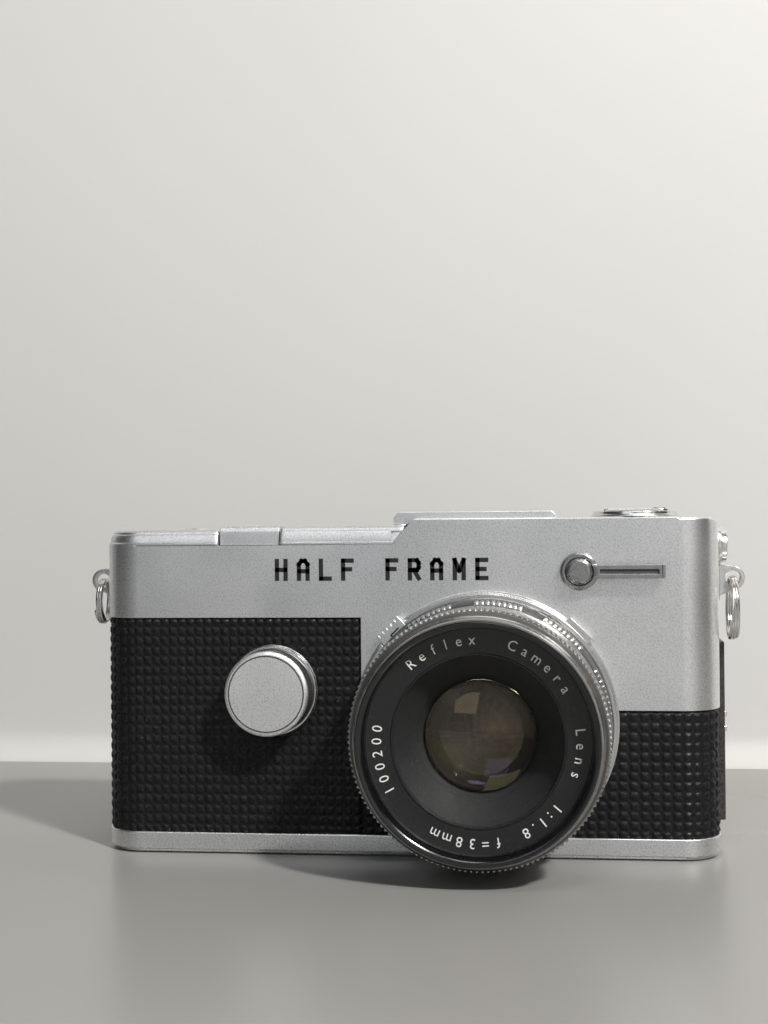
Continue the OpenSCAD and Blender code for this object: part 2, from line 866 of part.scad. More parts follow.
body_casting();
take_up_casting();
cassette_casting();
top_cover();
base_plate();
front_leather();
light_seals();
back_door();
back_leather();
door_pin();
pressure_plate();
pressure_spring();
door_latch();
shutter_button();
release_rod();
release_spring();
advance_lever();
lever_cap();
advance_gear();
counter_dial();
take_up_spool();
spool_gear();
sprocket();
rewind_knob();
rewind_crank();
crank_grip();
rewind_fork();
rewind_collar();
rewind_release_button();
speed_dial();
speed_dial_ring();
self_timer_lever();
self_timer_cap();
mount_flange();
mount_screws();
lens_release_tab();
lens_barrel();
depth_scale_ring();
aperture_ring();
focus_ring();
front_barrel();
front_rim();
name_ring();
inner_cone();
front_glass();
rear_cell();
rear_glass();
reflex_mirror();
mirror_holder();
focusing_screen();
finder_prism();
eyepiece_frame();
eyepiece_lens();
shutter_disc();
strap_lugs();
split_ring_left();
split_ring_right();
sync_socket();
tripod_bush();
base_screws();
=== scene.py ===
import json
import math
from math import cos, pi, radians, sin

import bmesh
import bpy
from mathutils import Matrix, Vector


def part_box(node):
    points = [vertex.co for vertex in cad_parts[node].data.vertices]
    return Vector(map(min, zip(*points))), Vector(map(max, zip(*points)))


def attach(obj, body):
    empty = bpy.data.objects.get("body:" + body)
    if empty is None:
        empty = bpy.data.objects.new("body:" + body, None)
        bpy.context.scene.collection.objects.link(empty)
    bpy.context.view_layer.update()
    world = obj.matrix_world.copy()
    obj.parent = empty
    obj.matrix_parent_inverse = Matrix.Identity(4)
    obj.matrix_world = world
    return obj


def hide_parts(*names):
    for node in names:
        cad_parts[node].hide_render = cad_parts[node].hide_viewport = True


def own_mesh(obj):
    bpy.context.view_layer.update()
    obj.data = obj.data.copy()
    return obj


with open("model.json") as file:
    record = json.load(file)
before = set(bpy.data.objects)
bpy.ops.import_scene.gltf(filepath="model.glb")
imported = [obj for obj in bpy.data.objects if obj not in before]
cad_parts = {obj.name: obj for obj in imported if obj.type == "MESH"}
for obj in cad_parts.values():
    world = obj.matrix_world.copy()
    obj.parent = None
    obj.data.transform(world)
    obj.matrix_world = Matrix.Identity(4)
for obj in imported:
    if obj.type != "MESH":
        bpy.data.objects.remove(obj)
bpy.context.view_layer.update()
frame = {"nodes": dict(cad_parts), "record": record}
MM = 0.001
NODES = frame["nodes"]
RECORD = frame["record"]
BODY_OF = {n: b for b, ns in RECORD["behaviour"]["bodies"].items() for n in ns}
SLOT_OF = {s["node"]: s["material_slot"] for s in RECORD["subparts"]}


# ---- places, in millimetres, most taken from the frame ----

def box_mm(node):
    """A node's lowest and highest corner."""
    low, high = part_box(node)
    return low / MM, high / MM


def middle(node):
    """The middle of a node's box."""
    low, high = box_mm(node)
    return (low + high) / 2


LENS_X, _, LENS_Z = middle("front_rim")
FRONT_Y = box_mm("mount_flange")[1].y
BODY_LOW, BODY_HIGH = box_mm("front_leather")
END_X = BODY_HIGH.x
BASE_TOP = BODY_LOW.z
LEATHER_TOP = BODY_HIGH.z
DIAL = middle("speed_dial_ring")
WIND = middle("counter_dial")
TIMER = middle("self_timer_cap")
# radius of the body's rounded ends
CORNER_R = 7.95
BODY_DEPTH = 2 * abs(FRONT_Y)


# ---- material building ----

def sockets(group, inputs, outputs):
    """Gives a node group its named inputs, with their values, and its named outputs."""
    for name, kind, value in inputs:
        item = group.interface.new_socket(name, in_out="INPUT", socket_type="NodeSocket" + kind)
        item.default_value = value
    for name, kind in outputs:
        group.interface.new_socket(name, in_out="OUTPUT", socket_type="NodeSocket" + kind)


class Wiring:
    """Short ways to add and join nodes in one tree."""

    def __init__(self, tree):
        self.tree = tree

    def add(self, kind, **values):
        made = self.tree.nodes.new(kind)
        for key, value in values.items():
            setattr(made, key, value)
        return made

    def put(self, source, target):
        if hasattr(source, "links"):
            self.tree.links.new(source, target)
        else:
            target.default_value = source

    def math(self, operation, a, b=0.0, clamp=False):
        made = self.add("ShaderNodeMath", operation=operation, use_clamp=clamp)
        self.put(a, made.inputs[0])
        self.put(b, made.inputs[1])
        return made.outputs[0]

    def ramp(self, value, low, high, to_low=0.0, to_high=1.0):
        made = self.add("ShaderNodeMapRange", clamp=True)
        for socket, source in zip(made.inputs, (value, low, high, to_low, to_high)):
            self.put(source, socket)
        return made.outputs[0]

    def mix(self, factor, a, b):
        made = self.add("ShaderNodeMix", data_type="RGBA")
        self.put(factor, made.inputs[0])
        self.put(a, made.inputs[6])
        self.put(b, made.inputs[7])
        return made.outputs[2]

    def noise(self, vector, scale, detail=2.0, roughness=0.5):
        made = self.add("ShaderNodeTexNoise")
        self.put(vector, made.inputs["Vector"])
        self.put(scale, made.inputs["Scale"])
        made.inputs["Detail"].default_value = detail
        made.inputs["Roughness"].default_value = roughness
        return made.outputs[0]

    def group(self, kind, **values):
        made = self.add("ShaderNodeGroup")
        made.node_tree = bpy.data.node_groups[kind]
        for key, value in values.items():
            self.put(value, made.inputs[key.replace("_", " ")])
        return made.outputs


def new_group(name, inputs, outputs):
    """An empty shader group: its wiring, its inputs and its outputs."""
    group = bpy.data.node_groups.new(name, "ShaderNodeTree")
    sockets(group, inputs, outputs)
    wiring = Wiring(group)
    return wiring, wiring.add("NodeGroupInput").outputs, wiring.add("NodeGroupOutput").inputs


def make_groups():
    """The effects that several finishes share."""
    # Bead blasted chrome: a fine sparkling grain
    w, given, out = new_group("blasted grain",
        [("Point", "Vector", (0, 0, 0)), ("Scale", "Float", 5500.0), ("Depth", "Float", 1.0)],
        [("Height", "Float"), ("Sparkle", "Float")])
    fine = w.noise(given["Point"], given["Scale"], 1.0)
    coarse = w.noise(given["Point"], w.math("MULTIPLY", given["Scale"], 0.55), 1.0)
    blend = w.math("ADD", w.math("MULTIPLY", fine, 0.7), w.math("MULTIPLY", coarse, 0.3))
    w.put(w.math("MULTIPLY", blend, given["Depth"]), out["Height"])
    w.put(w.ramp(blend, 0.34, 0.54), out["Sparkle"])

    # Hand smears and haze: slow changes in gloss
    w, given, out = new_group("handling haze",
        [("Point", "Vector", (0, 0, 0)), ("Scale", "Float", 60.0), ("Amount", "Float", 0.1)],
        [("Gloss Shift", "Float"), ("Patch", "Float")])
    cloud = w.noise(given["Point"], given["Scale"], 5.0, 0.6)
    patch = w.ramp(cloud, 0.38, 0.66)
    w.put(w.math("MULTIPLY", w.math("SUBTRACT", patch, 0.5), given["Amount"]), out["Gloss Shift"])
    w.put(patch, out["Patch"])

    # Wear: edges rubbed bright or bare, broken up by noise
    w, given, out = new_group("rubbed edges",
        [("Point", "Vector", (0, 0, 0)), ("Scale", "Float", 900.0), ("Start", "Float", 0.52),
         ("Amount", "Float", 1.0)],
        [("Mask", "Float")])
    shape = w.add("ShaderNodeNewGeometry").outputs["Pointiness"]
    edge = w.ramp(shape, given["Start"], w.math("ADD", given["Start"], 0.08))
    broken = w.ramp(w.noise(given["Point"], given["Scale"], 4.0), 0.35, 0.62)
    w.put(w.math("MULTIPLY", w.math("MULTIPLY", edge, broken), given["Amount"], True), out["Mask"])

    # Lathe marks: fine rings that follow a turned piece
    w, given, out = new_group("lathe marks",
        [("Point", "Vector", (0, 0, 0)), ("Centre", "Vector", (0, 0, 0)), ("Axis", "Vector", (0, 1, 0)),
         ("Pitch", "Float", 9000.0)],
        [("Height", "Float")])
    offset = w.add("ShaderNodeVectorMath", operation="SUBTRACT")
    w.put(given["Point"], offset.inputs[0])
    w.put(given["Centre"], offset.inputs[1])
    along = w.add("ShaderNodeVectorMath", operation="DOT_PRODUCT")
    w.put(offset.outputs[0], along.inputs[0])
    w.put(given["Axis"], along.inputs[1])
    length = w.add("ShaderNodeVectorMath", operation="LENGTH")
    w.put(offset.outputs[0], length.inputs[0])
    square = w.math("SUBTRACT", w.math("POWER", length.outputs["Value"], 2.0),
        w.math("POWER", along.outputs["Value"], 2.0))
    radius = w.math("SQRT", w.math("MAXIMUM", square, 0.0))
    line = w.add("ShaderNodeCombineXYZ")
    w.put(w.math("MULTIPLY", radius, given["Pitch"]), line.inputs[0])
    w.put(w.math("MULTIPLY", along.outputs["Value"], given["Pitch"]), line.inputs[1])
    w.put(w.noise(line.outputs[0], 1.0, 2.0), out["Height"])

    # Dust: pale specks that settle on faces that look up
    w, given, out = new_group("settled dust",
        [("Point", "Vector", (0, 0, 0)), ("Scale", "Float", 1400.0), ("Amount", "Float", 0.3)],
        [("Mask", "Float")])
    specks = w.ramp(w.noise(given["Point"], given["Scale"], 3.0), 0.64, 0.72)
    facing = w.add("ShaderNodeSeparateXYZ")
    w.put(w.add("ShaderNodeNewGeometry").outputs["Normal"], facing.inputs[0])
    upward = w.ramp(facing.outputs[2], -0.3, 0.9, 0.25, 1.0)
    w.put(w.math("MULTIPLY", w.math("MULTIPLY", specks, upward), given["Amount"], True), out["Mask"])

    # Embossed leatherette: pores between the pressed pads
    w, given, out = new_group("leatherette pores",
        [("Point", "Vector", (0, 0, 0)), ("Scale", "Float", 3200.0)],
        [("Height", "Float"), ("Shine", "Float")])
    cells = w.add("ShaderNodeTexVoronoi")
    w.put(given["Point"], cells.inputs["Vector"])
    w.put(given["Scale"], cells.inputs["Scale"])
    crumple = w.noise(given["Point"], w.math("MULTIPLY", given["Scale"], 0.45), 3.0)
    w.put(w.math("ADD", w.math("MULTIPLY", cells.outputs["Distance"], 0.7), crumple), out["Height"])
    w.put(w.ramp(crumple, 0.4, 0.65), out["Shine"])


def new_material(name):
    """A material with its wiring, its shader and the point being shaded."""
    material = bpy.data.materials.new(name)
    material.use_nodes = True
    wiring = Wiring(material.node_tree)
    shader = material.node_tree.nodes["Principled BSDF"]
    point = wiring.add("ShaderNodeTexCoord").outputs["Object"]
    return material, wiring, shader, point


def bump(w, shader, height, strength, distance):
    """Turns a height into the shader's normal."""
    made = w.add("ShaderNodeBump")
    made.inputs["Strength"].default_value = strength
    made.inputs["Distance"].default_value = distance
    w.put(height, made.inputs["Height"])
    w.put(made.outputs[0], shader.inputs["Normal"])


def blasted_chrome(name, colour, rough, grain=1.0, scale=5200.0, wear=0.6):
    """Satin chrome over brass: sparkling grain, haze, slightly brighter edges."""
    material, w, shader, point = new_material(name)
    grained = w.group("blasted grain", Point=point, Scale=scale, Depth=1.0)
    haze = w.group("handling haze", Point=point, Scale=45.0, Amount=0.1)
    rubbed = w.group("rubbed edges", Point=point, Scale=700.0, Start=0.53, Amount=wear)
    dark = tuple(c * 0.6 for c in colour)
    tint = w.mix(grained["Sparkle"], (*dark, 1), (*colour, 1))
    tint = w.mix(w.math("MULTIPLY", haze["Patch"], 0.14), tint, (*(c * 0.86 for c in colour), 1))
    bright = tuple(min(1, c * 1.12) for c in colour)
    w.put(w.mix(rubbed["Mask"], tint, (*bright, 1)), shader.inputs["Base Color"])
    sparkle = w.ramp(grained["Sparkle"], 0, 1, rough + 0.06, rough - 0.05)
    gloss = w.math("ADD", haze["Gloss Shift"], sparkle)
    polish = w.math("MULTIPLY", rubbed["Mask"], 0.12)
    w.put(w.math("SUBTRACT", gloss, polish, True), shader.inputs["Roughness"])
    shader.inputs["Metallic"].default_value = 1.0
    bump(w, shader, grained["Height"], 0.55 * grain, 0.00004)
    return material


def turned_metal(name, colour, rough, centre=(0, 0, 0), axis=(0, 1, 0), pitch=9000.0, depth=0.5,
                 anisotropic=0.5, stain=(0.42, 0.38, 0.33)):
    """Turned or polished metal: lathe marks, smears, and a little grime in the hollows."""
    material, w, shader, point = new_material(name)
    marks = w.group("lathe marks", Point=point, Centre=centre, Axis=axis, Pitch=pitch)
    haze = w.group("handling haze", Point=point, Scale=110.0, Amount=0.14)
    rubbed = w.group("rubbed edges", Point=point, Scale=1100.0, Start=0.53, Amount=0.7)
    tint = w.mix(w.math("MULTIPLY", haze["Patch"], 0.16), (*colour, 1), (*stain, 1))
    tint = w.mix(w.ramp(marks["Height"], 0.35, 0.65, 0.0, 0.22), tint, (*(c * 0.72 for c in colour), 1))
    bright = tuple(min(1, c * 1.15) for c in colour)
    w.put(w.mix(rubbed["Mask"], tint, (*bright, 1)), shader.inputs["Base Color"])
    ridges = w.ramp(marks["Height"], 0.3, 0.7, rough - 0.06, rough + 0.07)
    w.put(w.math("ADD", haze["Gloss Shift"], ridges, True), shader.inputs["Roughness"])
    shader.inputs["Metallic"].default_value = 1.0
    shader.inputs["Anisotropic"].default_value = anisotropic
    bump(w, shader, marks["Height"], depth, 0.00003)
    return material


def lacquer(name, colour, rough, worn=(0.45, 0.4, 0.32), wear=0.5, grain=2600.0, coat=0.0, specks=0.3):
    """Paint or anodising: fine orange peel, rubbed edges, dust."""
    material, w, shader, point = new_material(name)
    grained = w.group("blasted grain", Point=point, Scale=grain, Depth=1.0)
    haze = w.group("handling haze", Point=point, Scale=80.0, Amount=0.16)
    rubbed = w.group("rubbed edges", Point=point, Scale=1500.0, Start=0.55, Amount=wear)
    dust = w.group("settled dust", Point=point, Scale=1800.0, Amount=specks)
    light = tuple(min(1, c * 1.4 + 0.002) for c in colour)
    tint = w.mix(grained["Sparkle"], (*colour, 1), (*light, 1))
    tint = w.mix(rubbed["Mask"], tint, (*worn, 1))
    w.put(w.mix(dust["Mask"], tint, (0.5, 0.48, 0.45, 1)), shader.inputs["Base Color"])
    gloss = w.math("ADD", haze["Gloss Shift"], rough)
    w.put(w.math("ADD", gloss, w.math("MULTIPLY", dust["Mask"], 0.4), True), shader.inputs["Roughness"])
    w.put(w.math("MULTIPLY", rubbed["Mask"], 0.8), shader.inputs["Metallic"])
    shader.inputs["Coat Weight"].default_value = coat
    shader.inputs["Coat Roughness"].default_value = 0.08
    bump(w, shader, grained["Height"], 0.25, 0.00003)
    return material


def leatherette(name):
    """Black embossed leatherette: pads shine, hollows are dull and dusty. The pale specks are partly dust and
    partly painted glints on the nubs.
    """
    material, w, shader, point = new_material(name)
    pores = w.group("leatherette pores", Point=point, Scale=3000.0)
    haze = w.group("handling haze", Point=point, Scale=70.0, Amount=0.14)
    dust = w.group("settled dust", Point=point, Scale=2700.0, Amount=0.3)
    tint = w.mix(pores["Shine"], (0.004, 0.004, 0.005, 1), (0.012, 0.012, 0.014, 1))
    tint = w.mix(w.math("MULTIPLY", haze["Patch"], 0.25), tint, (0.009, 0.008, 0.007, 1))
    # pale specks: partly dust, partly painted glints standing in for light caught on the nub tops
    w.put(w.mix(dust["Mask"], tint, (0.3, 0.3, 0.31, 1)), shader.inputs["Base Color"])
    pads = w.ramp(pores["Shine"], 0, 1, 0.6, 0.33)
    w.put(w.math("ADD", haze["Gloss Shift"], pads, True), shader.inputs["Roughness"])
    shader.inputs["Specular IOR Level"].default_value = 0.22
    shader.inputs["Coat Weight"].default_value = 0.05
    shader.inputs["Coat Roughness"].default_value = 0.3
    bump(w, shader, pores["Height"], 0.8, 0.00006)
    return material


def optical_glass(name, colour, tint, shine=0.9, roughness=0.02):
    """A lens or prism: clear, with a coating colour in its reflections and a trace of dust."""
    material, w, shader, point = new_material(name)
    dust = w.group("settled dust", Point=point, Scale=700.0, Amount=0.03)
    w.put(w.mix(dust["Mask"], (*colour, 1), (0.75, 0.73, 0.7, 1)), shader.inputs["Base Color"])
    w.put(w.math("ADD", w.math("MULTIPLY", dust["Mask"], 0.3), roughness, True), shader.inputs["Roughness"])
    shader.inputs["Transmission Weight"].default_value = 1.0
    shader.inputs["IOR"].default_value = 1.6
    shader.inputs["Specular IOR Level"].default_value = shine
    shader.inputs["Specular Tint"].default_value = (*tint, 1)
    return material


def ink(name, colour, rough=0.5):
    """Engraving fill: slightly uneven, a little worn."""
    material, w, shader, point = new_material(name)
    haze = w.group("handling haze", Point=point, Scale=900.0, Amount=0.2)
    faded = tuple(c * 0.8 + 0.01 for c in colour)
    fading = w.math("MULTIPLY", haze["Patch"], 0.35)
    w.put(w.mix(fading, (*colour, 1), (*faded, 1)), shader.inputs["Base Color"])
    w.put(w.math("ADD", haze["Gloss Shift"], rough, True), shader.inputs["Roughness"])
    grained = w.group("blasted grain", Point=point, Scale=5000.0, Depth=1.0)
    bump(w, shader, grained["Height"], 0.3, 0.00002)
    return material


make_groups()
LENS_CENTRE = (LENS_X * MM, FRONT_Y * MM, LENS_Z * MM)
CHROME = blasted_chrome("satin chrome", (0.90, 0.905, 0.91), 0.40)
BASE_CHROME = blasted_chrome("satin chrome base", (0.90, 0.905, 0.91), 0.36, 0.7)
# Painted shade: a darker copy of the satin chrome for the self-timer lever and cap, standing in for their
# shaded look
TIMER_CHROME_PAINTED_SHADE = blasted_chrome("satin chrome timer painted shade", (0.42, 0.42, 0.42), 0.34, 0.8)
DIAL_CHROME = blasted_chrome("satin chrome dial", (0.98, 0.98, 0.975), 0.5, 1.6, 4000.0)
BRIGHT = turned_metal("bright chrome", (0.84, 0.84, 0.83), 0.2, pitch=4000.0, depth=0.15, anisotropic=0.0)
LENS_SILVER = turned_metal("turned aluminium", (0.37, 0.37, 0.366), 0.27, LENS_CENTRE, anisotropic=0.35)
LENS_BAND = turned_metal("matt turned band", (0.14, 0.135, 0.125), 0.42, LENS_CENTRE, pitch=7000.0, depth=0.6,
    anisotropic=0.2)
FLANGE_STEEL = turned_metal("flange", (0.74, 0.74, 0.73), 0.28, LENS_CENTRE, pitch=6500.0, depth=0.4,
    anisotropic=0.3)
STEEL = turned_metal("turned steel", (0.6, 0.6, 0.6), 0.33, pitch=5000.0, depth=0.3, anisotropic=0.2)
SPRING_STEEL = turned_metal("spring steel", (0.48, 0.49, 0.52), 0.3, pitch=3000.0, depth=0.2, anisotropic=0.0)
TITANIUM = turned_metal("titanium foil", (0.34, 0.34, 0.36), 0.42, (0.0035, 0, 0.0322), pitch=8000.0,
    depth=0.4, anisotropic=0.3)
BRASS = turned_metal("cut brass", (0.75, 0.56, 0.28), 0.3, pitch=5000.0, depth=0.3, anisotropic=0.2,
    stain=(0.35, 0.22, 0.1))
WIRE = turned_metal("nickelled wire", (0.72, 0.71, 0.69), 0.22, pitch=2500.0, depth=0.1, anisotropic=0.0)
LEATHER = leatherette("black leatherette")
CASTING = lacquer("casting black", (0.03, 0.03, 0.032), 0.55, grain=1500.0)
DOOR_SHEET = lacquer("door sheet", (0.008, 0.008, 0.009), 0.36, worn=(0.5, 0.46, 0.38), wear=0.35, specks=0.1)
BLACK_LACQUER = lacquer("black lacquer", (0.02, 0.02, 0.022), 0.4)
RIM_BLACK = lacquer("rim enamel", (0.003, 0.003, 0.0035), 0.2, wear=0.1, coat=0.4, specks=0.05)
NAME_BLACK = lacquer("name ring enamel", (0.004, 0.004, 0.0045), 0.3, wear=0.0, coat=0.2, specks=0.08)
CONE_GREY = lacquer("baffle grey", (0.016, 0.016, 0.017), 0.5, wear=0.0, specks=0.08)
BLACK_PLASTIC = lacquer("moulded black", (0.025, 0.025, 0.027), 0.42, worn=(0.08, 0.08, 0.08), wear=0.3)
FOAM = lacquer("foam", (0.02, 0.02, 0.02), 0.9, wear=0.0, grain=2400.0)
WHITE_DIAL = lacquer("white dial", (0.78, 0.78, 0.75), 0.35, wear=0.1)
SLOT_BLACK = lacquer("gap paint", (0.004, 0.004, 0.004), 0.5, wear=0.1, specks=0.1)
FRONT_COATING = optical_glass("front element", (0.84, 0.88, 0.72), (1.0, 0.8, 0.48), 0.8)
INNER_COATING = optical_glass("inner element", (0.6, 0.6, 0.48), (0.5, 0.36, 1.0), 0.25)
CLEAR_GLASS = optical_glass("finder glass", (0.93, 0.96, 0.96), (1.0, 1.0, 1.0))
GROUND_GLASS = optical_glass("ground screen", (0.9, 0.9, 0.88), (1, 1, 1), roughness=0.45)
SILVERING = turned_metal("front silvering", (0.92, 0.92, 0.93), 0.07, pitch=900.0, depth=0.02,
    anisotropic=0.0)
BLADE_BLACK = lacquer("iris blade black", (0.004, 0.004, 0.0045), 0.3, wear=0.0, grain=700.0, specks=0.0)
# Painted shade: a dark colour put on groove, seam and gap faces, standing in for the shade that falls in them
PAINTED_GROOVE_SHADE = lacquer("groove painted shade", (0.05, 0.048, 0.045), 0.6, wear=0.0, specks=0.1)
# Painted shade: the knurled side of the chrome speed dial is coloured dark steel, standing in for the shade
# on it
KNURL_PAINTED_SHADE = turned_metal("knurled rim painted shade", (0.22, 0.22, 0.22), 0.34, pitch=4000.0, depth=0.3, anisotropic=0.0)
BLACK_INK = ink("black engraving", (0.012, 0.012, 0.012), 0.42)
WHITE_INK = ink("white engraving", (0.85, 0.85, 0.82), 0.5)

SLOT_FINISH = {
    "casting": CASTING, "satin_chrome": CHROME, "polished_chrome": BRIGHT, "leather": LEATHER, "foam": FOAM,
    "back_metal": DOOR_SHEET, "steel": STEEL, "black_plate": BLACK_LACQUER, "spring_steel": SPRING_STEEL,
    "brass_gear": BRASS, "white_dial": WHITE_DIAL, "black_plastic": BLACK_PLASTIC, "lens_silver": LENS_SILVER,
    "black_anodised": RIM_BLACK, "dark_cone": CONE_GREY, "coated_glass": FRONT_COATING,
    "clear_glass": CLEAR_GLASS, "ground_screen": GROUND_GLASS, "mirror": SILVERING, "titanium": TITANIUM,
    "wire": WIRE}

for node_name, node_object in NODES.items():
    node_object.data.materials.clear()
    node_object.data.materials.append(SLOT_FINISH[SLOT_OF[node_name]])


# ---- mesh building ----

def enlist(piece, node, stands_for=True):
    """Rides a piece on its node's body, and hides the node when the piece stands for it."""
    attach(piece, BODY_OF[node])
    if stands_for:
        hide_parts(node)
    return piece


def mesh_piece(name, bm, materials, sharp=30.0):
    """Turns a bmesh in millimetres into an object with smooth faces and sharp creases."""
    bmesh.ops.scale(bm, vec=(MM, MM, MM), verts=bm.verts)
    mesh = bpy.data.meshes.new(name)
    bm.to_mesh(mesh)
    bm.free()
    for material in materials:
        mesh.materials.append(material)
    mesh.shade_smooth()
    mesh.set_sharp_from_angle(angle=radians(sharp))
    made = bpy.data.objects.new(name, mesh)
    bpy.context.scene.collection.objects.link(made)
    return made


def close_tube(bm, rings):
    """Skins a row of rings as a tube with closed ends."""
    count = len(rings[0])
    for one, two in zip(rings, rings[1:]):
        for i in range(count):
            j = (i + 1) % count
            bm.faces.new((one[i], one[j], two[j], two[i]))
    bm.faces.new(rings[0])
    bm.faces.new(rings[-1])
    bmesh.ops.recalc_face_normals(bm, faces=bm.faces)


def border_points(bm):
    """Adds a second edge all round an open sheet and returns its points, still to be moved."""
    border = [e for e in bm.edges if len(e.link_faces) == 1]
    made = bmesh.ops.extrude_edge_only(bm, edges=border)["geom"]
    return [g for g in made if isinstance(g, bmesh.types.BMVert)]


def stroke_block(bm, start, end, half, place):
    """A raised bar from start to end. place(corner, step) puts its root at step 0 and its face at step 1."""
    along = (end - start).normalized() * half
    over = Vector((-along.y, along.x))
    corners = (start - along - over, end + along - over, end + along + over, start - along + over)
    root, face = ([bm.verts.new(place(corner, step)) for corner in corners] for step in (0, 1))
    bm.faces.new(face)
    for a in range(4):
        b = (a + 1) % 4
        bm.faces.new((root[a], root[b], face[b], face[a]))


def eased(profile, radius, steps=3):
    """Rounds every corner of a closed outline."""
    out = []
    count = len(profile)
    for i, corner in enumerate(profile):
        here = Vector(corner)
        back, ahead = Vector(profile[i - 1]) - here, Vector(profile[(i + 1) % count]) - here
        if back.length < 1e-6 or ahead.length < 1e-6:
            continue
        half = back.angle(ahead) / 2
        if half > radians(84):
            out.append(tuple(here))
            continue
        reach = min(radius / math.tan(half), 0.45 * back.length, 0.45 * ahead.length)
        start, end = here + back.normalized() * reach, here + ahead.normalized() * reach
        for k in range(steps + 1):
            u = k / steps
            out.append(tuple(start * (1 - u) ** 2 + here * 2 * u * (1 - u) + end * u * u))
    return out


def about_lens(r, t, a):
    """A point at radius r and angle a, t ahead of the front plate, about the lens axis."""
    return Vector((LENS_X + r * cos(a), FRONT_Y - t, LENS_Z + r * sin(a)))


def about_dial(r, t, a):
    """The same about the speed dial's axis."""
    return Vector((DIAL.x + r * cos(a), FRONT_Y - t, DIAL.z + r * sin(a)))


def revolve(place, profile, steps, shaped=None, tinted=None):
    """Turns a closed outline about an axis. shaped(i, r, t, a) may change a radius,
    tinted(i, a) picks a material for the face that starts at outline point i."""
    bm = bmesh.new()
    rings = []
    for k in range(steps):
        a = 2 * pi * k / steps
        rings.append([bm.verts.new(place(shaped(i, r, t, a) if shaped else r, t, a))
            for i, (r, t) in enumerate(profile)])
    count = len(profile)
    for k in range(steps):
        a = 2 * pi * (k + 0.5) / steps
        ring, after = rings[k], rings[(k + 1) % steps]
        for i in range(count):
            j = (i + 1) % count
            face = bm.faces.new((ring[i], ring[j], after[j], after[i]))
            face.material_index = tinted(i, a) if tinted else 0
    bmesh.ops.remove_doubles(bm, verts=bm.verts, dist=1e-5)
    bmesh.ops.recalc_face_normals(bm, faces=bm.faces)
    return bm


def softened(node, width, material=None, segments=2, more=(), shade=None):
    """A copy of a CAD piece with its sharp edges rounded, as a finished part has.
    more rounds chosen edges further first; shade picks faces for the painted groove shade, a dark colour
    standing in for the shade in grooves and gaps."""
    bm = bmesh.new()
    bm.from_mesh(NODES[node].data)
    bmesh.ops.scale(bm, vec=(1 / MM, 1 / MM, 1 / MM), verts=bm.verts)
    bmesh.ops.remove_doubles(bm, verts=bm.verts, dist=1e-3)
    bmesh.ops.dissolve_limit(bm, angle_limit=radians(0.5), verts=bm.verts, edges=bm.edges, delimit={"NORMAL"})
    for w, chosen in [*more, (width, None)]:
        edges = [e for e in bm.edges if len(e.link_faces) == 2 and e.calc_face_angle(0) > radians(27)
            and (chosen is None or chosen(*(v.co for v in e.verts)))]
        if edges:
            bmesh.ops.bevel(bm, geom=edges, offset=w, segments=segments, profile=0.5,
                affect="EDGES", clamp_overlap=False)
    bmesh.ops.triangulate(bm, faces=[f for f in bm.faces if len(f.verts) > 4])
    bmesh.ops.recalc_face_normals(bm, faces=bm.faces)
    # the faces that shade picks get the painted groove shade
    if shade:
        for face in bm.faces:
            face.material_index = int(shade(face.calc_center_median()))
    made = mesh_piece(node + "_finished", bm, [material or SLOT_FINISH[SLOT_OF[node]], PAINTED_GROOVE_SHADE], 40.0)
    weighted = made.modifiers.new("even faces", "WEIGHTED_NORMAL")
    weighted.keep_sharp = True
    return enlist(made, node)


def lettering(name, words, height, material, squeeze=1.0, depth=0.04, weight=0.0):
    """Flat letters in the XY plane, centred, as a mesh in metres."""
    data = bpy.data.curves.new(name, "FONT")
    data.body = words
    data.size = height * MM / 0.72
    data.extrude = depth * MM
    data.offset = weight * MM
    data.align_x, data.align_y = "CENTER", "BOTTOM"
    data.resolution_u = 3
    holder = bpy.data.objects.new(name + "_text", data)
    bpy.context.scene.collection.objects.link(holder)
    bpy.context.view_layer.update()
    mesh = bpy.data.meshes.new_from_object(holder.evaluated_get(bpy.context.evaluated_depsgraph_get()))
    bpy.data.objects.remove(holder)
    mesh.transform(Matrix.Diagonal((squeeze, 1, 1, 1)))
    mesh.materials.clear()
    mesh.materials.append(material)
    return mesh


def join_letters(name, parts, material):
    """One object from many placed letter meshes."""
    bm = bmesh.new()
    for mesh, place in parts:
        mesh.transform(place)
        bm.from_mesh(mesh)
        bpy.data.meshes.remove(mesh)
    bmesh.ops.scale(bm, vec=(1 / MM,) * 3, verts=bm.verts)
    bmesh.ops.remove_doubles(bm, verts=bm.verts, dist=1e-4)
    for face in bm.faces:
        face.material_index = 0
    return mesh_piece(name, bm, [material], 20.0)


# Letters that stand on the front, read from -Y
FACING_FRONT = Matrix.Rotation(pi / 2, 4, "X")


def outline_inward(point):
    """The way into the body from a point on its plan outline."""
    flat = END_X - CORNER_R
    if abs(point.x) <= flat:
        return Vector((0, math.copysign(1, -point.y), 0))
    if abs(point.y) <= BODY_DEPTH / 2 - CORNER_R:
        return Vector((math.copysign(1, -point.x), 0, 0))
    hub = Vector((math.copysign(flat, point.x), math.copysign(BODY_DEPTH / 2 - CORNER_R, point.y), point.z))
    return (hub - point).normalized()


# ---- leather ----

def smooth_step(low, high, value):
    """0 below low, 1 above high, eased between."""
    u = min(1.0, max(0.0, (value - low) / (high - low)))
    return u * u * (3 - 2 * u)


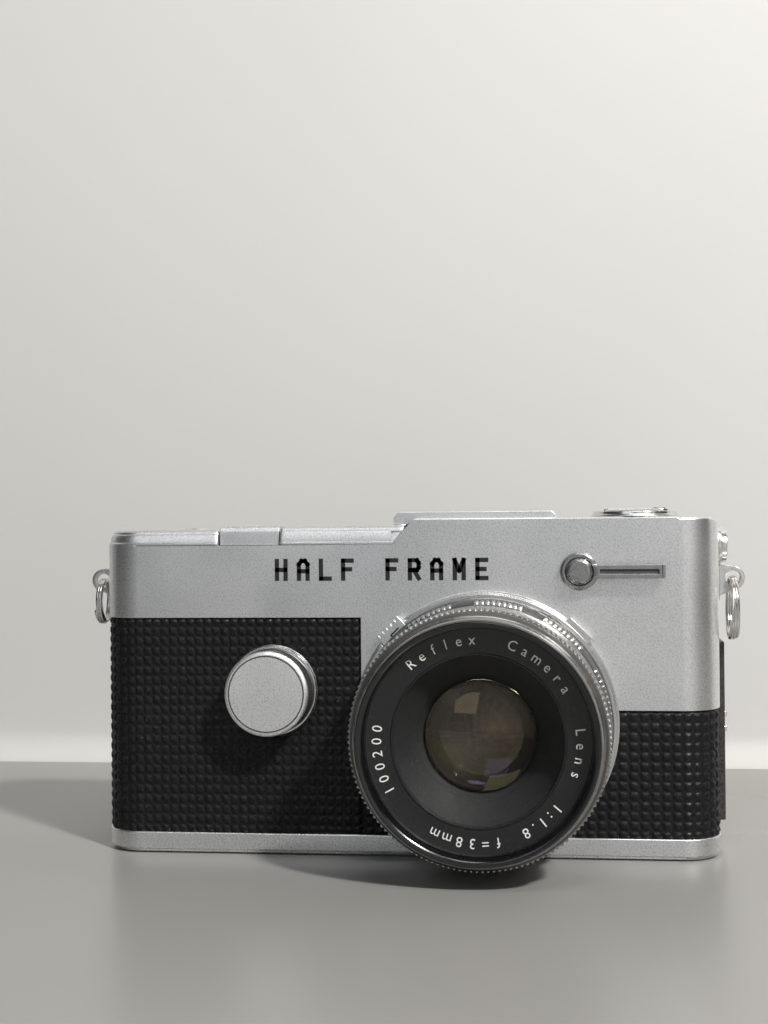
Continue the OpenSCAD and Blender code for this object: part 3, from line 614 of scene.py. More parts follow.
def pressed_relief(s, z, pitch_s, pitch_z):
    """Depth of the embossing below the surface: pads in rows, a small nub between each four."""
    u, v = s / pitch_s, z / pitch_z
    fu, fv = abs(u - math.floor(u) - 0.5), abs(v - math.floor(v) - 0.5)
    pad = (1 - smooth_step(0.26, 0.44, fu)) * (1 - smooth_step(0.26, 0.42, fv))
    gu, gv = 0.5 - fu, 0.5 - fv
    nub = smooth_step(0.0, 1.0, max(0.0, 1 - math.hypot(gu * pitch_s, gv * pitch_z) / 0.5))
    crown = 1 - smooth_step(0.0, 0.3, math.hypot(fu, fv))
    return 0.30 * (1 - pad) - 0.22 * nub + 0.06 * (1 - crown)


def along_front(s, inset):
    """Point and outward direction on the body outline, s millimetres from the middle of the front."""
    r = CORNER_R - inset
    flat = END_X - CORNER_R
    arc = r * pi / 2
    side = 1 if s >= 0 else -1
    d = abs(s)
    front = FRONT_Y + 0.05 + inset
    if d <= flat:
        return Vector((s, front)), Vector((0, -1))
    if d <= flat + arc:
        a = (d - flat) / r
        n = Vector((side * sin(a), -cos(a)))
        return Vector((side * flat, front + r)) + n * r, n
    d -= flat + arc
    straight = BODY_DEPTH - 2 * CORNER_R
    if d <= straight:
        return Vector((side * (flat + r), front + r + d)), Vector((side, 0))
    a = (d - straight) / r
    n = Vector((side * cos(a), sin(a)))
    return Vector((side * flat, BODY_DEPTH / 2 - CORNER_R)) + n * r, n


def leather_sheet(name, s0, s1, z0, z1, step, pitch_s, pitch_z, clipped=None, corner=None):
    """An embossed sheet wrapped round the body between two lengths and two heights."""
    bm = bmesh.new()
    columns, rows = math.ceil((s1 - s0) / step), math.ceil((z1 - z0) / step)
    grid = []
    for i in range(columns + 1):
        s = s0 + (s1 - s0) * i / columns
        line = []
        for j in range(rows + 1):
            z = z0 + (z1 - z0) * j / rows
            ss, zz = (s, z) if corner is None else corner(s, z)
            edge = min(s - s0, s1 - s, z - z0, z1 - z)
            rolled = 0.28 * (1 - smooth_step(0.0, 0.55, edge))
            depth = max(0.0, pressed_relief(s, z, pitch_s, pitch_z)) + rolled
            at, outward = along_front(ss, 0)
            flat = at - outward * depth
            line.append(bm.verts.new((flat.x, flat.y, zz)))
        grid.append(line)
    for i in range(columns):
        for j in range(rows):
            quad = (grid[i][j], grid[i + 1][j], grid[i + 1][j + 1], grid[i][j + 1])
            if clipped is None or not clipped(sum((v.co for v in quad), Vector()) / 4):
                bm.faces.new(quad)
    turned_in = 0.5
    for v in border_points(bm):
        v.co += outline_inward(v.co) * turned_in
    bmesh.ops.delete(bm, geom=[v for v in bm.verts if not v.link_faces], context="VERTS")
    return mesh_piece(name, bm, [LEATHER], 60.0)


# top of the right sheet, and left edge of the silver apron
LEATHER_LOW = 29.6
APRON_EDGE = -8.9
# the sheets run round both ends and a little way along the back
BACK_OVERLAP = 8.2
WRAP = (END_X - CORNER_R) + CORNER_R * pi / 2 + (BODY_DEPTH - 2 * CORNER_R) + BACK_OVERLAP
# radius of the hole under the lens mount
THROAT = 22.6
# pitch of the pressed pads, along and up
LEFT_PITCH = (1.8, 2.02)
RIGHT_PITCH = (2.12, 1.96)
# distance between the points of a leather sheet
LEATHER_STEP = 0.27


def rounded_corner(s, z):
    """Rounds the upper inner corner of the left sheet."""
    r = 0.9
    cs, cz = APRON_EDGE - r, LEATHER_TOP - r
    if s > cs and z > cz:
        off = Vector((s - cs, z - cz))
        if off.length > r:
            off = off.normalized() * r
        return cs + off.x, cz + off.y
    return s, z


def under_mount(point):
    """Whether a point of the leather lies under the lens mount."""
    return math.hypot(point.x - LENS_X, point.z - LENS_Z) < THROAT


left_sheet = leather_sheet("leather_left", -WRAP, APRON_EDGE, BASE_TOP, LEATHER_TOP,
    LEATHER_STEP, *LEFT_PITCH, under_mount, rounded_corner)
right_sheet = leather_sheet("leather_right", APRON_EDGE, WRAP, BASE_TOP, LEATHER_LOW,
    LEATHER_STEP, *RIGHT_PITCH, under_mount)
enlist(left_sheet, "front_leather")
enlist(right_sheet, "front_leather")


def back_sheet():
    """The flat embossed sheet on the door."""
    low, high = box_mm("back_leather")
    bm = bmesh.new()
    step = 0.36
    columns, rows = math.ceil((high.x - low.x) / step), math.ceil((high.z - low.z) / step)
    grid = []
    for i in range(columns + 1):
        x = low.x + (high.x - low.x) * i / columns
        line = []
        for j in range(rows + 1):
            z = low.z + (high.z - low.z) * j / rows
            edge = min(x - low.x, high.x - x, z - low.z, high.z - z)
            depth = max(0.0, pressed_relief(x, z, *LEFT_PITCH)) + 0.4 * (1 - smooth_step(0.0, 0.7, edge))
            line.append(bm.verts.new((x, high.y - depth, z)))
        grid.append(line)
    for i in range(columns):
        for j in range(rows):
            bm.faces.new((grid[i][j], grid[i][j + 1], grid[i + 1][j + 1], grid[i + 1][j]))
    for v in border_points(bm):
        v.co.y = low.y
    return enlist(mesh_piece("leather_back", bm, [LEATHER], 60.0), "back_leather")


back_sheet()


# ---- covers, base and door ----

def deck_edge(a, b):
    """Edges round the flat right deck, rounded more than the rest."""
    top = box_mm("top_cover")[1].z - 1.5
    level = min(a.z, b.z) > top - 1.2 and max(a.z, b.z) < top + 0.2
    return level and min(a.x, b.x) > 2.5 and min(a.y, b.y) < -9


def cover():
    """The top cover, with the fine seam where the lower left deck meets the apron. The seam's groove is
    pushed in and painted dark as shade.
    """
    made = softened("top_cover", 0.14, more=[(0.55, deck_edge)])
    seam, start = 63.02, -2.7
    bm = bmesh.new()
    bm.from_mesh(made.data)
    bmesh.ops.scale(bm, vec=(1 / MM,) * 3, verts=bm.verts)
    cuts = [((0, 0, seam + h), (0, 0, 1)) for h in (-0.1, -0.06, 0.06, 0.1)]
    cuts += [((start, 0, 0), (1, 0, 0)), ((start + 0.2, 0, 0), (1, 0, 0))]
    for place, normal in cuts:
        near = [f for f in bm.faces
            if f.calc_center_median().x < 3 or min(v.co.x for v in f.verts) < start + 0.3]
        parts = set(near) | {e for f in near for e in f.edges} | {v for f in near for v in f.verts}
        bmesh.ops.bisect_plane(bm, geom=list(parts), dist=1e-4, plane_co=place, plane_no=normal)
    low, high = seam - 0.09, seam + 0.09
    hub = Vector((-(END_X - CORNER_R), FRONT_Y + CORNER_R))

    def on_outside(point):
        if point.y < FRONT_Y + 0.02 or point.x < -END_X - 0.02:
            return True
        past_hub = point.x < hub.x and point.y < hub.y
        return past_hub and (Vector((point.x, point.y)) - hub).length > CORNER_R + 0.02

    groove = [v for v in bm.verts if low < v.co.z < high and v.co.x < start + 0.01 and on_outside(v.co)]
    for v in groove:
        v.co += outline_inward(v.co) * 0.3
    inside = set(groove)
    # painted shade: the groove faces get the dark groove colour in place of the shade in the seam
    for face in bm.faces:
        if all(v in inside for v in face.verts):
            face.material_index = 1
    # the rims of the left deck are separate sweeps, so theirs are folded down here
    for v in bm.verts:
        if v.co.x < start and v.co.z > seam + 0.09 and v.co.y < -5.3:
            v.co.z = seam + 0.08
    bmesh.ops.scale(bm, vec=(MM,) * 3, verts=bm.verts)
    bm.to_mesh(made.data)
    bm.free()


cover()


def deck_rim(name, s0, s1, top):
    """A rounded rim along the front of the left deck, swept round the corner of the body."""
    foot = 63.1
    section = [(0.04, foot), (0.04, foot + 0.3), (0.2, foot + 0.48), (0.32, foot + 0.6), (0.5, top - 1.5),
        (0.72, top - 1.05), (0.95, top - 0.85), (1.1, top - 0.45), (1.5, top - 0.12), (2.2, top), (6.6, top),
        (7.3, top - 0.25), (7.6, top - 0.8), (7.65, foot)]
    ease = ((0.0, 0.84), (0.12, 0.92), (0.35, 0.98), (0.7, 1.0))
    stations = [(s0 + gap, k) for gap, k in ease]
    steps = 46
    stations += [(s0 + 0.7 + (s1 - s0 - 1.4) * n / steps, 1.0) for n in range(1, steps)]
    stations += [(s1 - gap, k) for gap, k in reversed(ease)]
    bm = bmesh.new()
    rings = []
    for s, k in stations:
        at, outward = along_front(s, -0.05)
        ring = []
        for d, z in section:
            d = 3.8 + (d - 3.8) * (1 - (1 - k) * 0.3)
            flat = at - outward * d
            ring.append(bm.verts.new((flat.x, flat.y, foot + (z - foot) * k)))
        rings.append(ring)
    close_tube(bm, rings)
    return enlist(mesh_piece(name, bm, [CHROME], 22.0), "top_cover", False)


BUTTON_LOW, BUTTON_HIGH = box_mm("shutter_button")
deck_rim("deck_rim_end", -(END_X - CORNER_R + CORNER_R * pi / 2 + 0.6), BUTTON_LOW.x - 0.3, 66.2)
deck_rim("deck_rim_inner", BUTTON_HIGH.x + 0.3, 0.0, 66.8)
softened("base_plate", 0.3, BASE_CHROME, 3)
for eased_node, edge_width in (("back_door", 0.3), ("eyepiece_frame", 0.3), ("shutter_button", 0.1),
        ("door_latch", 0.12), ("strap_lugs", 0.12), ("sync_socket", 0.12), ("rewind_knob", 0.15),
        ("rewind_crank", 0.12), ("advance_lever", 0.25), ("lever_cap", 0.15)):
    softened(eased_node, edge_width)


def in_timer_groove(face):
    """The long groove in the timer arm, its end lip and the gap round the cap: the faces that get painted
    dark shade.
    """
    front = FRONT_Y - 3.3
    around = math.hypot(face.x - TIMER.x, face.z - TIMER.z)
    if around < 3.6:
        return 2.5 < around < 2.75
    return abs(face.z - TIMER.z) < 0.44 and face.y > front + 0.2


softened("self_timer_lever", 0.1, TIMER_CHROME_PAINTED_SHADE, shade=in_timer_groove)
softened("self_timer_cap", 0.18, TIMER_CHROME_PAINTED_SHADE)
softened("lens_release_tab", 0.1)
softened("mount_flange", 0.08, FLANGE_STEEL)


def tab_mark():
    """The short angled black line on the release tab."""
    tab = middle("lens_release_tab")
    front = box_mm("lens_release_tab")[0].y
    half_width = 0.16
    depths = (0.005, -0.015)
    bm = bmesh.new()

    def on_tab(corner, step):
        return tab.x + corner.x, front + depths[step], tab.z + corner.y

    for x0, z0, x1, z1 in ((-0.9, 0.1, 0.5, 1.5), (-0.9, 0.1, -0.1, -0.7)):
        stroke_block(bm, Vector((x0, z0)), Vector((x1, z1)), half_width, on_tab)
    bmesh.ops.recalc_face_normals(bm, faces=bm.faces)
    return enlist(mesh_piece("release_tab_mark", bm, [BLACK_INK], 20.0), "lens_release_tab", False)


tab_mark()
softened("tripod_bush", 0.12)
softened("base_screws", 0.1)
softened("rewind_release_button", 0.2)


# ---- speed dial ----

def speed_dial():
    """The shutter speed dial: a crossed knurl round the side and a fine groove in the face, both painted dark
    as shade.
    """
    low, high = box_mm("speed_dial")
    rim = (high.x - low.x) / 2
    front = FRONT_Y - low.y
    back = 1.2
    band = (1.9, front - 0.75)
    profile = [(0.001, back), (rim - 0.5, back), (rim - 0.3, 1.6), (rim, band[0])]
    cuts = 12
    for k in range(1, cuts):
        profile.append((rim, band[0] + (band[1] - band[0]) * k / cuts))
    profile += [(rim, band[1]), (rim - 0.12, front - 0.35), (rim - 0.42, front - 0.06), (rim - 0.62, front),
        (rim - 0.82, front), (rim - 0.9, front - 0.14), (rim - 1.02, front - 0.14), (rim - 1.1, front),
        (rim * 0.5, front), (0.001, front)]
    knurls = 84

    def knurled(i, r, t, a):
        if not band[0] < t < band[1] - 0.01 or r < rim - 0.01:
            return r
        turn = a * knurls / (2 * pi)
        up = (t - band[0]) * 1.45
        one, two = turn + up, turn - up
        left = abs(one - math.floor(one) - 0.5) * 2
        right = abs(two - math.floor(two) - 0.5) * 2
        return r - 0.42 * (1 - min(left, right) ** 0.8)

    # picks the painted shade: the knurled side gets the dark knurl colour, the face groove the dark groove
    # colour
    def shaded(i, a):
        r, t = profile[i]
        if r > rim - 0.05 and t < band[1] - 0.01:
            return 1
        return 2 if t > front - 0.2 and rim - 1.06 < r < rim - 0.8 else 0

    bm = revolve(about_dial, profile, knurls * 6, knurled, shaded)
    made = mesh_piece("speed_dial_finished", bm, [DIAL_CHROME, KNURL_PAINTED_SHADE, PAINTED_GROOVE_SHADE], 28.0)
    return enlist(made, "speed_dial")


def dial_ring():
    """The bright collar round the foot of the speed dial."""
    low, high = box_mm("speed_dial_ring")
    rim = (high.x - low.x) / 2
    profile = eased([(2.7, 0.0), (rim, 0.0), (rim, 0.45), (rim - 0.22, 0.7), (rim - 0.34, 0.95),
        (rim - 0.75, 0.95), (rim - 0.95, 0.5), (2.7, 0.5)], 0.08)
    bm = revolve(about_dial, profile, 160)
    return enlist(mesh_piece("speed_dial_ring_finished", bm, [BRIGHT], 40.0), "speed_dial_ring")


speed_dial()
dial_ring()


# ---- lens ----

def lens_ring(node, profile, steps=288, materials=None, shaped=None, tinted=None, ease=0.1, sharp=35.0):
    """A turned ring of the lens. Its outline is (radius, distance ahead of the front plate)."""
    bm = revolve(about_lens, eased(profile, ease) if ease else profile, steps, shaped, tinted)
    made = mesh_piece(node + "_finished", bm, materials or [SLOT_FINISH[SLOT_OF[node]]], sharp)
    return enlist(made, node)


def focus_ring():
    """The focus ring, with fine teeth round its front edge."""
    teeth, per_tooth = 144, 6
    profile = [(21.3, 14.7), (23.6, 14.7), (23.6, 16.3), (23.75, 16.6), (24.0, 17.0), (24.0, 18.9),
        (23.85, 19.1), (23.85, 19.5), (24.0, 19.7), (24.0, 21.2), (24.42, 21.55), (24.45, 21.8),
        (24.45, 24.3), (24.3, 24.55), (24.0, 24.65), (22.7, 24.65), (22.7, 17.4), (21.3, 16.9)]

    def toothed(i, r, t, a):
        if r < 24.2 or t < 21.5:
            return r
        phase = a * teeth / (2 * pi)
        cut = abs(phase - math.floor(phase) - 0.5) * 2
        return r - 0.36 * smooth_step(0.35, 0.8, cut)

    return lens_ring("focus_ring", profile, teeth * per_tooth, [LENS_SILVER], toothed, None, 0, 25.0)


def aperture_ring():
    """The aperture ring: serrated grips with black gaps between them."""
    grips, serrations = 11, 9
    share = 0.69
    profile = [(21.25, 5.7), (24.2, 5.7), (24.4, 5.9), (24.4, 6.5), (24.95, 6.8), (25.0, 7.0), (25.0, 10.5),
        (24.9, 10.8), (24.4, 11.0), (24.3, 11.2), (21.25, 11.2)]

    def where(a):
        turn = (a - radians(104)) * grips / (2 * pi)
        return turn - math.floor(turn)

    def gripped(i, r, t, a):
        if r < 24.6:
            return r
        at = where(a)
        if at > share:
            return 24.42
        tooth = at / share * serrations
        cut = abs(tooth - math.floor(tooth) - 0.5) * 2
        return r - 0.3 * smooth_step(0.45, 0.85, cut)

    def painted(i, a):
        return 1 if 3 <= i <= 8 and where(a) > share else 0

    finishes = [LENS_SILVER, SLOT_BLACK]
    return lens_ring("aperture_ring", profile, grips * 96, finishes, gripped, painted, 0, 25.0)


def front_barrel():
    """The stepped front of the barrel, with one matt band."""
    profile = [(21.3, 18.4), (22.35, 18.4), (22.35, 24.95), (23.9, 24.95), (23.85, 25.35), (23.78, 25.5),
        (23.55, 25.9), (23.25, 26.2), (23.2, 26.3), (23.18, 26.75), (23.05, 26.85), (23.0, 27.2),
        (22.85, 27.35), (22.78, 27.8), (22.66, 27.95), (22.6, 28.3), (21.95, 28.3), (21.95, 25.6),
        (21.3, 24.9)]

    def banded(i, a):
        return 1 if 3 <= i <= 6 else 0

    return lens_ring("front_barrel", profile, 288, [LENS_SILVER, LENS_BAND], None, banded, 0, 32.0)


def front_rim():
    """The black front rim, with the filter thread inside."""
    profile = [(21.95, 25.7), (21.95, 28.35), (22.5, 28.35), (22.5, 29.15), (22.4, 29.45), (22.2, 29.6),
        (21.7, 29.6), (21.45, 29.45)]
    # fine thread for filters
    t = 29.3
    while t > 25.9:
        profile += [(21.25, t), (21.45, t - 0.22)]
        t -= 0.5
    profile.append((21.25, 25.7))
    return lens_ring("front_rim", profile, 288, [RIM_BLACK], None, None, 0, 35.0)


def name_ring():
    """The black ring that carries the lens words."""
    profile = [(15.9, 24.9), (21.3, 24.9), (21.3, 25.95), (21.0, 25.95), (20.85, 25.7), (20.4, 25.62),
        (16.3, 25.3), (16.15, 25.42), (15.9, 25.42)]
    return lens_ring("name_ring", profile, 288, [NAME_BLACK], None, None, 0.05)


def inner_cone():
    """The dark cone between the name ring and the front element."""
    profile = [(10.62, 16.2), (10.75, 16.35), (12.0, 18.1), (12.02, 18.35), (15.7, 23.5), (15.9, 23.9),
        (15.9, 24.9), (17.5, 24.9), (17.5, 22.8), (12.6, 15.4), (12.6, 9.6), (10.6, 9.6)]
    return lens_ring("inner_cone", profile, 192, [CONE_GREY], None, None, 0.06, 30.0)


def lens_barrel():
    """The fixed part of the barrel."""
    profile = [(15.6, -1.6), (17, -1.6), (17, 3.2), (25.3, 3.2), (25.3, 4.0), (25.1, 4.15), (25.1, 4.4),
        (25.3, 4.55), (25.3, 5.0), (25.0, 5.4), (21, 5.4), (21, 23.4), (18.4, 23.4), (18.4, 5.5), (15.6, 3.4)]
    return lens_ring("lens_barrel", profile, 240, [LENS_SILVER], ease=0.08)


def depth_ring():
    """The ring for the depth scale."""
    profile = [(21, 11.5), (24.2, 11.5), (24.2, 13.3), (24.05, 13.6), (23.6, 14.4), (21, 14.4)]
    return lens_ring("depth_scale_ring", profile, 240, [LENS_SILVER])


def lens_element(name, node, radius, t_edge, t_vertex, t_back, material, stands_for=True):
    """A lens element: a spherical front, a ground edge and a flat or shallow back."""
    sag = t_vertex - t_edge
    ball = (radius * radius + sag * sag) / (2 * abs(sag)) if sag else 0
    rings = 14
    profile = []
    for k in range(rings + 1):
        r = 0.001 + (radius - 0.001) * k / rings
        drop = ball - math.sqrt(max(0.0, ball * ball - r * r)) if sag else 0
        profile.append((r, t_vertex - math.copysign(drop, sag)))
    profile += [(radius, t_back), (0.001, t_back)]
    bm = revolve(about_lens, profile, 128)
    made = mesh_piece(name, bm, [material], 50.0)
    return enlist(made, node, stands_for)


def iris_plate():
    """Six closed-down blades round a small opening, behind the front elements."""
    bm = bmesh.new()
    blades, outer, opening = 6, 10.4, 5.2
    for k in range(blades):
        a0 = 2 * pi * k / blades
        turn = 2 * pi / blades
        depth = 8.6 - 0.06 * (k % 2)
        line = [about_lens(opening, depth, a0 + turn * u) for u in (-0.12, 0.35, 0.75, 1.12)]
        edge = [about_lens(outer, depth, a0 + turn * u) for u in (1.12, 0.75, 0.35, -0.12)]
        front = [bm.verts.new(p) for p in line + edge]
        back = [bm.verts.new(p + Vector((0, 0.03, 0))) for p in line + edge]
        bm.faces.new(front)
        bm.faces.new(list(reversed(back)))
        for i in range(len(front)):
            j = (i + 1) % len(front)
            bm.faces.new((front[i], back[i], back[j], front[j]))
    bmesh.ops.recalc_face_normals(bm, faces=bm.faces)
    return enlist(mesh_piece("iris_blades", bm, [BLADE_BLACK], 30.0), "inner_cone", False)


focus_ring()
aperture_ring()
front_barrel()
front_rim()
name_ring()
inner_cone()
lens_barrel()
depth_ring()
lens_element("front_element", "front_glass", 10.55, 17.2, 20.4, 13.0, FRONT_COATING)
lens_element("second_element", "inner_cone", 9.6, 12.3, 10.6, 9.8, INNER_COATING, False)
iris_plate()
lens_element("rear_element", "rear_glass", 8.45, 5.0, 2.6, 6.4, INNER_COATING)


def ring_words(name, words, node, radius, t, height, start, turn, material, squeeze=0.8):
    """Letters standing round the lens, read clockwise from start (degrees)."""
    parts = []
    angle = radians(start)
    for letter in words:
        if letter != " ":
            mesh = lettering(name + "_letter", letter, height, material, squeeze, 0.03)
            foot = about_lens(radius, t, angle) * MM
            turned = Matrix.Rotation(pi / 2 - angle, 4, "Y") @ FACING_FRONT
            parts.append((mesh, Matrix.Translation(foot) @ turned))
        angle -= radians(turn)
    return enlist(join_letters(name, parts, material), node, False)


for label, words, start, turn in (("lens_word_reflex", "Reflex", 131, 7.6),
        ("lens_word_camera", "Camera", 70, 7.8), ("lens_word_lens", "Lens", 6, 8.2),
        ("lens_word_aperture", "1:1.8", -40, 5.6),
        ("lens_word_focus", "f=38mm", -79, 7.4), ("lens_number", "100200", 209, 7.2)):
    ring_words(label, words, "name_ring", 17.35, 25.6, 1.95, start, turn, WHITE_INK, 0.95)


# ---- words on the front ----

STROKES = {
    "H": ((0, 0, 0, 1), (1, 0, 1, 1), (0, 0.5, 1, 0.5)),
    "A": ((0, 0, 0, 0.8), (1, 0, 1, 0.8), (0, 0.8, 0.3, 1), (0.3, 1, 0.7, 1), (0.7, 1, 1, 0.8),
        (0, 0.42, 1, 0.42)),
    "L": ((0, 0, 0, 1), (0, 0, 1, 0)),
    "F": ((0, 0, 0, 1), (0, 1, 1, 1), (0, 0.52, 0.8, 0.52)),
    "R": ((0, 0, 0, 1), (0, 1, 0.8, 1), (0.8, 1, 1, 0.85), (1, 0.85, 1, 0.6), (1, 0.6, 0.8, 0.46),
        (0, 0.46, 0.8, 0.46), (0.45, 0.46, 1, 0)),
    "M": ((0, 0, 0, 1), (1, 0, 1, 1), (0, 1, 0.5, 0.42), (0.5, 0.42, 1, 1)),
    "E": ((0, 0, 0, 1), (0, 1, 1, 1), (0, 0.5, 0.8, 0.5), (0, 0, 1, 0))}


def front_words():
    """Filled letters on the apron, each built from straight strokes."""
    words = "HALF FRAME"
    wide, tall, stroke = 2.65, 4.5, 0.88
    first, last, foot = -24.95, 15.8, 55.7
    thick = 0.035
    bm = bmesh.new()
    for k, letter in enumerate(words):
        middle_x = first + (last - first) * k / (len(words) - 1)

        def on_apron(corner, step):
            return middle_x + corner.x, FRONT_Y - thick * step, foot + stroke / 2 + corner.y

        for x0, z0, x1, z1 in STROKES.get(letter, ()):
            start = Vector(((x0 - 0.5) * (wide - stroke), z0 * (tall - stroke)))
            end = Vector(((x1 - 0.5) * (wide - stroke), z1 * (tall - stroke)))
            stroke_block(bm, start, end, stroke / 2, on_apron)
    bmesh.ops.recalc_face_normals(bm, faces=bm.faces)
    return enlist(mesh_piece("front_words", bm, [BLACK_INK], 20.0), "top_cover", False)


front_words()


# ---- frame counter ----

def counter_marks():
    """Strokes and numbers on the frame counter."""
    top = box_mm("counter_dial")[1].z
    parts = []
    for k in range(36):
        a = 2 * pi * k / 36
        long = k % 5 == 0
        mesh = lettering("mark", "I", 0.9 if long else 0.5, BLACK_INK, 0.5, 0.01)
        foot = Vector((WIND.x + 6.1 * cos(a), WIND.y + 6.1 * sin(a), top)) * MM
        parts.append((mesh, Matrix.Translation(foot) @ Matrix.Rotation(a - pi / 2, 4, "Z")))
    for k, value in enumerate(("0", "10", "20", "30", "40", "50", "60", "70")):
        a = pi / 2 - 2 * pi * k / 8
        mesh = lettering("number", value, 1.15, BLACK_INK, 0.75, 0.01, 0.01)
        foot = Vector((WIND.x + 4.4 * cos(a), WIND.y + 4.4 * sin(a), top)) * MM
        parts.append((mesh, Matrix.Translation(foot) @ Matrix.Rotation(a - pi / 2, 4, "Z")))
    return enlist(join_letters("counter_marks", parts, BLACK_INK), "counter_dial", False)


counter_marks()


# ---- split rings ----

def split_ring(node, coils=2.15, sections=14):
    """Two and a bit turns of wire, closed with rounded ends."""
    low, high = box_mm(node)
    wire = 0.54
    centre = (low + high) / 2
    mean = (high.z - low.z) / 2 - wire
    steps = 150
    bm = bmesh.new()
    rings = []
    for k in range(steps + 1):
        u = k / steps
        a = 2 * pi * coils * u + radians(200)
        x = centre.x + (u - 0.5) * 2 * wire * 0.98
        end = min(u, 1 - u) * steps
        thin = math.sqrt(max(0.0, 1 - max(0.0, 1 - end / 1.6) ** 2)) * 0.97 + 0.02
        out = Vector((0, cos(a), sin(a)))
        core = Vector((x, centre.y, centre.z)) + out * mean
        thickness = wire * thin * 0.97
        rings.append([bm.verts.new(core + (out * cos(b) + Vector((1, 0, 0)) * sin(b)) * thickness)
            for b in (2 * pi * i / sections for i in range(sections))])
    close_tube(bm, rings)
    return enlist(mesh_piece(node + "_wire", bm, [WIRE], 50.0), node)


split_ring("split_ring_left")
split_ring("split_ring_right")


def coil_spring():
    """The coil under the release bar."""
    low, high = box_mm("release_spring")
    centre = (low + high) / 2
    wire, turns, sections, steps = 0.22, 6.5, 10, 200
    gap = 0.02
    mean = (high.x - low.x) / 2 - wire - gap
    rise = high.z - low.z - 2 * wire - 2 * gap
    bm = bmesh.new()
    rings = []
    for k in range(steps + 1):
        u = k / steps
        a = 2 * pi * turns * u
        out = Vector((cos(a), sin(a), 0))
        at = Vector((centre.x, centre.y, low.z + wire + gap + rise * u)) + out * mean
        rings.append([bm.verts.new(at + (out * cos(b) + Vector((0, 0, 1)) * sin(b)) * wire)
            for b in (2 * pi * i / sections for i in range(sections))])
    close_tube(bm, rings)
    spring = enlist(mesh_piece("release_coil", bm, [SPRING_STEEL], 50.0), "release_spring")
    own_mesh(spring)


coil_spring()


# ---- stage, light and camera ----

def plain_surface(name, colour, rough, one_sided=False):
    """A plain studio surface with a faint cloudiness."""
    material, w, shader, point = new_material(name)
    cloud = w.noise(point, 5.0, 3.0)
    shaded = tuple(c * 0.95 for c in colour)
    w.put(w.mix(w.ramp(cloud, 0.3, 0.7), (*colour, 1), (*shaded, 1)), shader.inputs["Base Color"])
    w.put(w.ramp(cloud, 0.2, 0.8, rough - 0.02, rough + 0.02), shader.inputs["Roughness"])
    if one_sided:
        behind = w.add("ShaderNodeNewGeometry").outputs["Backfacing"]
        w.put(w.math("SUBTRACT", 1.0, behind), shader.inputs["Alpha"])
    return material


def stage():
    """A pale table and wall. The wall isn't seen from behind, so the back can be viewed."""
    bm = bmesh.new()
    wall_y, bend, reach, tall, near, far = 108.0, 8.0, 700.0, 900.0, -900.0, 1500.0
    line = [(near, 0.0), (wall_y - bend, 0.0)]
    for k in range(1, 11):
        a = radians(9 * k)
        line.append((wall_y - bend + bend * sin(a), bend - bend * cos(a)))
    line.append((wall_y, tall))
    below_feet, beyond_drop = 0.02, 0.5
    sides = [[bm.verts.new((x, y, z - below_feet)) for y, z in line] for x in (-reach, reach)]
    for i in range(len(line) - 1):
        face = bm.faces.new((sides[0][i], sides[1][i], sides[1][i + 1], sides[0][i + 1]))
        face.material_index = 0 if i == 0 else 1
    beyond = [bm.verts.new((x, y, -beyond_drop)) for x, y in
        ((-reach, wall_y), (reach, wall_y), (reach, far), (-reach, far))]
    bm.faces.new(beyond)
    finishes = [plain_surface("table top", (0.31, 0.305, 0.29), 0.28),
        plain_surface("studio paper", (0.66, 0.655, 0.635), 0.6, True)]
    mesh_piece("studio_sweep", bm, finishes, 80.0)


def area_light(name, at, target, size, power, colour, spread=180, shape="DISK"):
    data = bpy.data.lights.new(name, "AREA")
    data.shape = shape
    data.size = size
    data.spread = radians(spread)
    data.energy = power
    data.color = colour
    lamp = bpy.data.objects.new(name, data)
    bpy.context.scene.collection.objects.link(lamp)
    lamp.location = at
    lamp.rotation_euler = (Vector(target) - Vector(at)).to_track_quat("-Z", "Y").to_euler()


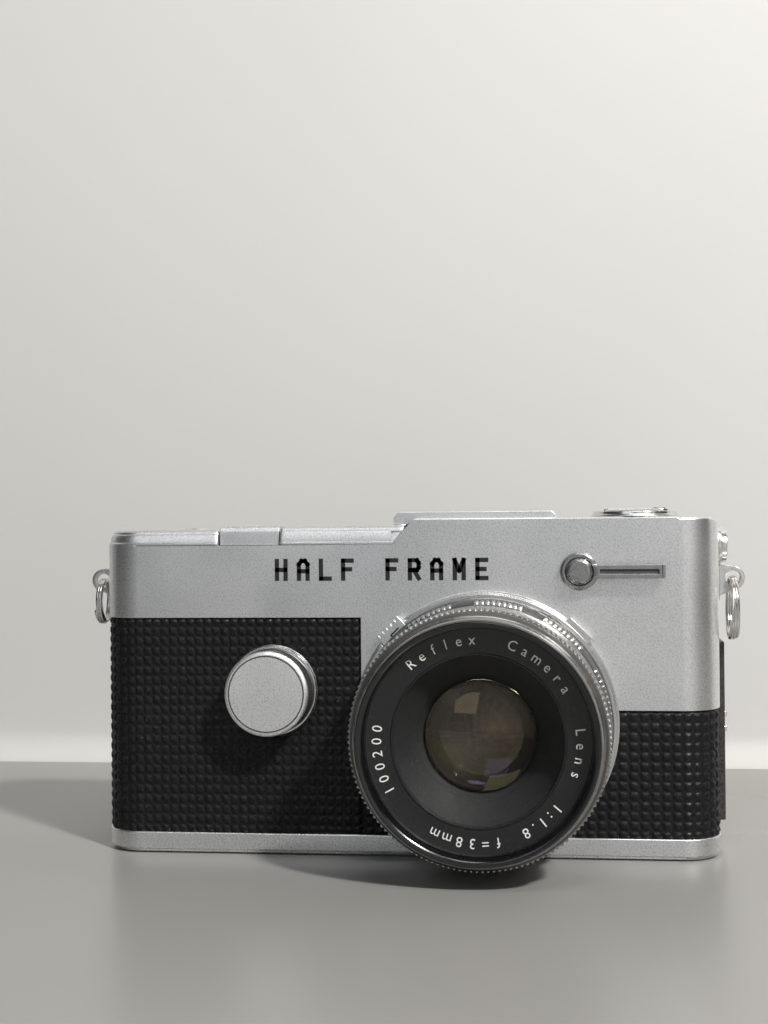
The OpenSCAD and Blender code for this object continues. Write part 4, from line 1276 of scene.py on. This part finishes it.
def camera():
    """The viewing angle: a little to the right of the lens, level with the top of the body."""
    yaw, pitch, roll = radians(6.891), radians(0.126), radians(-0.528)
    ahead = Vector((-sin(yaw) * cos(pitch), cos(yaw) * cos(pitch), sin(pitch)))
    right = Vector((cos(yaw), sin(yaw), 0))
    up = right.cross(ahead)
    side = right * cos(roll) + up * sin(roll)
    head = up * cos(roll) - right * sin(roll)
    place = Vector((33.71, -324.41, 68.84)) * MM
    data = bpy.data.cameras.new("camera")
    data.sensor_fit = "AUTO"
    data.sensor_width = 36.0
    data.lens = 54.52
    data.clip_start = 0.01
    made = bpy.data.objects.new("camera", data)
    bpy.context.scene.collection.objects.link(made)
    turn = Matrix((side, head, -ahead)).transposed()
    made.matrix_world = Matrix.Translation(place) @ turn.to_4x4()
    bpy.context.scene.camera = made


stage()
camera()
area_light("key", (0.42, -0.5, 0.62), (0.0, 0.0, 0.03), 0.08, 7.6, (1.0, 0.98, 0.95))
area_light("window", (-0.30, -0.80, 0.56), (0.0, 0.0, 0.03), 0.46, 0.7, (0.93, 0.96, 1.0), shape="SQUARE")
area_light("overhead", (0.05, 0.0, 0.95), (0.0, 0.05, 0.0), 0.7, 0.15, (1.0, 0.98, 0.96))
area_light("wall wash", (0.1, -0.5, 1.2), (0.0, 0.1, 0.3), 0.6, 0.85, (1.0, 0.985, 0.96), spread=80)


def room():
    """A dim room with a bright soft patch in front of the camera, warmer to the right."""
    world = bpy.data.worlds.new("room")
    bpy.context.scene.world = world
    world.use_nodes = True
    w = Wiring(world.node_tree)
    parts = w.add("ShaderNodeSeparateXYZ")
    w.put(w.add("ShaderNodeTexCoord").outputs["Generated"], parts.inputs[0])
    across = w.ramp(parts.outputs[0], -0.30, 0.22, 0.15, 0.75)
    ahead = w.ramp(parts.outputs[1], -0.97, -0.55, 1.0, 0.0)
    level = w.ramp(parts.outputs[2], 0.05, 0.7, 1.0, 0.25)
    patch = w.math("MULTIPLY", w.math("MULTIPLY", across, ahead), level)
    sky = world.node_tree.nodes["Background"]
    w.put(w.mix(across, (0.86, 0.93, 1.0, 1), (1.0, 0.98, 0.96, 1)), sky.inputs[0])
    w.put(w.math("ADD", patch, 0.045), sky.inputs[1])


room()
bpy.context.scene.view_settings.view_transform = "Standard"
